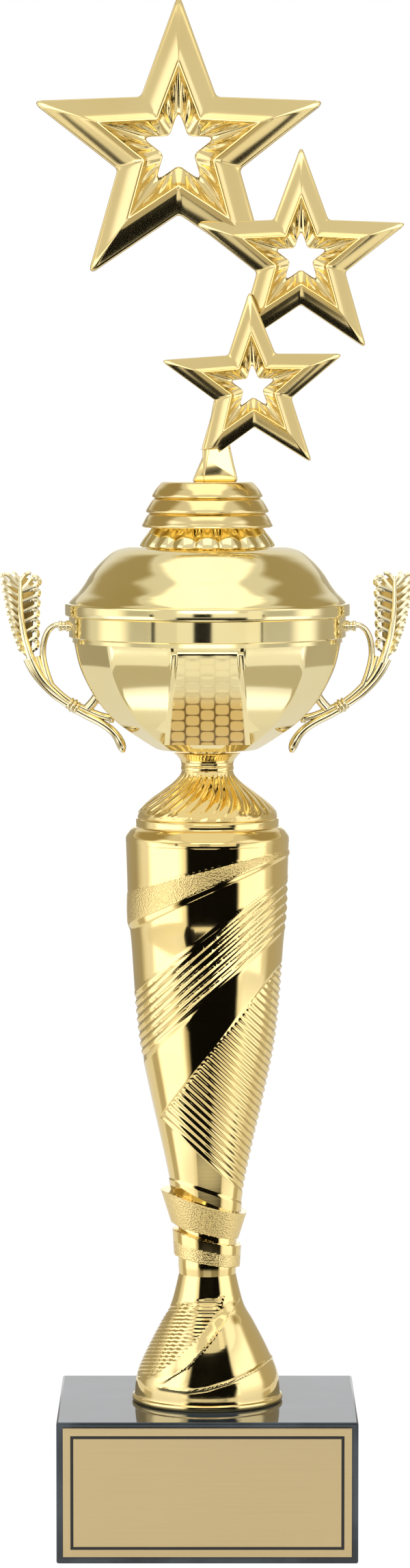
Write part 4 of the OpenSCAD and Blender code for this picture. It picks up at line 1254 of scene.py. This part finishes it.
def makeStars():
    small = makeStar("smallStarPlated", figure["small"])
    s = figure["small"]["tip"]
    cx, cz = figure["small"]["at"]
    endX, endZ = cx - 0.36 * s, legZ + cz - 0.66 * s

    def cutArm(x, y, z):  # the arm that the leg takes over ends inside the leg
        beyond = (x < endX * mm) & (z < endZ * mm)
        return x, y, np.where(beyond, (endZ + 0.25 * (z / mm - endZ) * 0.3) * mm, z)
    movePoints(small, cutArm)
    small = joinUp("smallStarPlated", [small, makeLeg()])
    medium = makeStar("mediumStarPlated", figure["medium"])
    m = figure["medium"]
    sides = [(m["at"][0] + x * m["tip"], legZ + m["at"][1] + z * m["tip"]) for x, z in web["sides"]]
    bridge = extrudedPlate("starWeb", sides, web["thick"], web["y"], 0.5)
    medium = joinUp("mediumStarPlated", [medium, bridge])
    large = makeStar("largeStarPlated", figure["large"])
    for piece, node in ((small, "star_small"), (medium, "star_medium"), (large, "star_large")):
        smoothUp(piece, 28)
        finishPiece(piece, [figureGold], "lid", node)


makeStars()
print("stars are ready")

# small inner parts keep their plain shape

for node, material in (
        [(n, zincSteel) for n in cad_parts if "nut" in n or "washer" in n or "screw" in n]
        + [("tie_rod", zincSteel), ("plate_tape", foamTape)]
        + [(n, feltPad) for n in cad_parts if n.startswith("pad_")]):
    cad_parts[node].data.materials.clear()
    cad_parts[node].data.materials.append(material)


def glowCard(card, name, colour, fades):  # a card that only shows in the polished skins
    card.name = card.data.name = name
    material, nodes, link = startMaterial(name)
    nodes.clear()
    sink = nodes.new("ShaderNodeOutputMaterial")
    glow = addNode(nodes, "ShaderNodeEmission", Color=(*colour, 1))
    if fades:  # the card thins out towards its edges
        fade = nodes.new("ShaderNodeAttribute")
        fade.attribute_name = "fade"
        clear = nodes.new("ShaderNodeBsdfTransparent")
        mix = nodes.new("ShaderNodeMixShader")
        link(fade.outputs["Fac"], mix.inputs["Fac"])
        link(clear.outputs["BSDF"], mix.inputs[1])
        link(glow.outputs["Emission"], mix.inputs[2])
        link(mix.outputs["Shader"], sink.inputs["Surface"])
    else:
        link(glow.outputs["Emission"], sink.inputs["Surface"])
    card.data.materials.append(material)
    card.visible_camera = False
    card.visible_shadow = False
    card.visible_diffuse = False


def softCard(name, size, steps, soft, place, colour):  # place(u, v) lays out the card's points
    clearAll()
    bpy.ops.mesh.primitive_grid_add(x_subdivisions=steps[0], y_subdivisions=steps[1], size=1)
    card = bpy.context.object
    u, v = readPoints(card)[:2] + 0.5
    fade = np.ones(len(u))
    for t, span, edge in ((u, size[0], soft[0]), (v, size[1], soft[1])):
        if edge:
            fade *= ramp(0, edge, np.minimum(t, 1 - t) * span)
    addLayer(card, "fade", fade)
    movePoints(card, lambda x, y, z: place(x + 0.5, y + 0.5))
    glowCard(card, name, colour, any(soft))


def standingCard(name, low, high, distance, bottom, top, level, tone=(1, 1, 1), soft=(0, 0)):
    steps = (max(1, round((high - low) / (2 if any(soft) else 6))), 12 if soft[1] else 1)

    def place(u, v):
        a = np.radians(low + u * (high - low))
        return distance * np.sin(a), -distance * np.cos(a), bottom + v * (top - bottom)
    softCard(name, (high - low, top - bottom), steps, soft, place, [level * t for t in tone])


def ringCard(name, low, high, near, far, level, tone, soft):  # part of a ring on the floor
    def place(u, v):
        a, r = np.radians(low + u * (high - low)), near + v * (far - near)
        return r * np.sin(a), -r * np.cos(a), np.full(len(u), 0.001)
    steps = (max(2, round((high - low) / 3)), 16)
    softCard(name, (high - low, far - near), steps, soft, place, [level * t for t in tone])


def lyingCard(name, x0, x1, y0, y1, level, z=0.002, soft=0):
    def place(u, v):
        return x0 + u * (x1 - x0), y0 + v * (y1 - y0), np.full(len(u), z)
    softCard(name, (x1 - x0, y1 - y0), (24, 24), (soft, soft), place, [level] * 3)


def addLamp(name, place, target, size, power):  # a soft lamp that the polished skins don't show
    clearAll()
    bpy.ops.object.light_add(type="AREA", location=place)
    lamp = bpy.context.object
    lamp.name = name
    lamp.data.shape = "RECTANGLE"
    lamp.data.size, lamp.data.size_y = size
    lamp.data.energy = power
    lamp.rotation_euler = (Vector(target) - Vector(place)).to_track_quat("-Z", "Y").to_euler()
    lamp.visible_glossy = False


def makeWorld():
    world = bpy.data.worlds.new("studioWorld")
    bpy.context.scene.world = world
    world.use_nodes = True
    nodes, link = world.node_tree.nodes, world.node_tree.links.new
    nodes.clear()
    sink = nodes.new("ShaderNodeOutputWorld")
    back = addNode(nodes, "ShaderNodeBackground", Color=(1, 1, 1, 1))
    path = nodes.new("ShaderNodeLightPath")
    level = addNode(nodes, "ShaderNodeMapRange", To_Min=0.8, To_Max=1.0)
    link(path.outputs["Is Camera Ray"], level.inputs["Value"])
    link(level.outputs["Result"], back.inputs["Strength"])
    link(back.outputs["Background"], sink.inputs["Surface"])


def floorMaterial():  # pale paper that reads white to the lens
    material, nodes, link = startMaterial("palePaper")
    shader = setInputs(nodes["Principled BSDF"],
                       {"Base Color": (0.85, 0.85, 0.85, 1), "Roughness": 1, "Specular IOR Level": 0})
    glow = nodes.new("ShaderNodeEmission")
    path = nodes.new("ShaderNodeLightPath")
    mix = nodes.new("ShaderNodeMixShader")
    link(path.outputs["Is Camera Ray"], mix.inputs["Fac"])
    link(shader.outputs["BSDF"], mix.inputs[1])
    link(glow.outputs["Emission"], mix.inputs[2])
    link(mix.outputs["Shader"], nodes["Material Output"].inputs["Surface"])
    return material


def makeStage():
    makeWorld()
    clearAll()
    bpy.ops.mesh.primitive_plane_add(size=6, location=(0, 0, -0.0002))
    floor = bpy.context.object
    floor.name = "paleFloor"
    floor.data.materials.append(floorMaterial())
    black, cool, warm = 0.004, (0.97, 1.0, 1.12), (1.0, 0.93, 0.78)
    amber = (1.0, 0.84, 0.5)
    # a standing card: from and to in degrees round the trophy, distance, bottom, top, how bright,
    # tone, and how wide its soft ends and its soft top and bottom are
    standingCard("frontBlack", -32, 47, 0.5, 0.012, 0.18, black, soft=(5, 0))
    standingCard("frontLeftBright", -94, -32, 0.56, 0.02, 0.185, 2.1, cool, (12, 0))
    standingCard("frontLeftSoft", -112, -70, 0.57, 0.02, 0.185, 1.0, cool, (12, 0))
    standingCard("frontRightBright", 42, 94, 0.56, 0.02, 0.185, 1.7, cool, (10, 0))
    standingCard("nearBlack", -32, 47, 0.105, 0.05, 0.131, black, soft=(5, 0))
    standingCard("nearBlackLow", -32, 47, 0.106, 0.028, 0.075, black, soft=(5, 0.022))
    standingCard("nearLeftBright", -98, -32, 0.112, 0.03, 0.132, 1.9, cool, (14, 0.03))
    standingCard("nearRightBright", 44, 98, 0.112, 0.03, 0.132, 1.6, cool, (12, 0.03))
    standingCard("nearLeftLow", -96, -32, 0.113, 0.001, 0.128, 1.0, cool, (10, 0))
    standingCard("nearRightLow", 44, 96, 0.113, 0.001, 0.128, 0.95, cool, (10, 0))
    standingCard("sideLeftGrey", -172, -108, 0.7, -0.001, 0.43, 0.42, warm, (14, 0))
    standingCard("sideRightGrey", 95, 172, 0.7, -0.001, 0.43, 0.5, warm, (14, 0))
    standingCard("bandPale", -42, 40, 0.56, 0.188, 0.255, 1.0)
    standingCard("bandBlack", -12, 4.5, 0.54, 0.184, 0.25, black, soft=(1, 0))
    standingCard("bandArcLeft", -45.5, -41, 0.54, 0.184, 0.23, black)
    standingCard("bandArcRight", 40, 45, 0.54, 0.184, 0.23, black)
    standingCard("bandGreyLeft", -70, -42, 0.565, 0.188, 0.28, 0.6, soft=(8, 0))
    standingCard("bandGreyRight", 42, 76, 0.565, 0.188, 0.28, 0.58, soft=(8, 0))
    standingCard("bandLeft", -104, -64, 0.56, 0.188, 0.28, 1.4, soft=(14, 0))
    standingCard("bandRight", 70, 103, 0.56, 0.188, 0.28, 1.3, soft=(12, 0))
    standingCard("lensSideBright", -26, 26, 0.9, 0.2, 0.6, 2.6, soft=(8, 0.06))
    standingCard("highLeft", -100, -36, 0.62, 0.29, 0.85, 1.5, cool, (10, 0.08))
    standingCard("highRight", 46, 98, 0.62, 0.29, 0.85, 1.3, cool, (10, 0.08))
    standingCard("upperBackLeft", -154, -74, 0.6, 0.36, 1.25, 0.4, amber, (20, 0.12))
    standingCard("upperBackRight", 74, 154, 0.6, 0.36, 1.25, 0.4, amber, (20, 0.12))
    lyingCard("ceilingBright", -0.5, 0.5, -0.7, 0.2, 1.5, 1.2, 0.1)
    standingCard("backBright", 168, 192, 1.0, 0.02, 0.42, 1.2)
    ringCard("floorShadeLeft", -120, -13, 0.2, 0.45, 0.56, warm, (5, 0))
    ringCard("floorShadeRight", 13, 120, 0.2, 0.45, 0.56, warm, (5, 0))
    lyingCard("panelPale", -0.03, 0.03, -0.072, -0.052, 0.85, 0.1825)
    lyingCard("panelMiddle", -0.03, 0.03, -0.052, -0.038, 0.9, 0.1825)
    lyingCard("panelLow", -0.016, 0.016, -0.042, -0.0125, 0.95, 0.2025)
    standingCard("rightArmBright", 28.5, 42, 0.208, 0.2, 0.275, 1.05, soft=(1.5, 0.006))
    standingCard("leftArmBright", -41, -22, 0.205, 0.187, 0.265, 0.85, soft=(2, 0.006))
    lyingCard("floorRightDark", 0.12, 0.275, -0.5, -0.33, 0.01)
    lyingCard("floorLeftDark", -0.28, -0.16, -0.48, -0.34, 0.01)
    addLamp("softLampLeft", (-0.9, -1.1, 0.95), (0, 0, 0.2), (0.8, 0.8), 9)
    addLamp("softLampRight", (0.9, -1.0, 0.8), (0, 0, 0.2), (0.8, 0.8), 6)


def makeCamera():
    clearAll()
    bpy.ops.object.camera_add(location=(eye["side"], -eye["distance"], eye["height"]))
    camera = bpy.context.object
    camera.name = "productCamera"
    camera.data.sensor_fit = "VERTICAL"
    camera.data.sensor_height = 36
    camera.data.lens = eye["lens"]
    camera.rotation_euler = (math.radians(90 - eye["down"]), 0, 0)
    camera.data.clip_start = 0.05
    bpy.context.scene.camera = camera


makeStage()
makeCamera()
scene = bpy.context.scene
scene.view_settings.view_transform = "Standard"
print("stage and camera are ready")
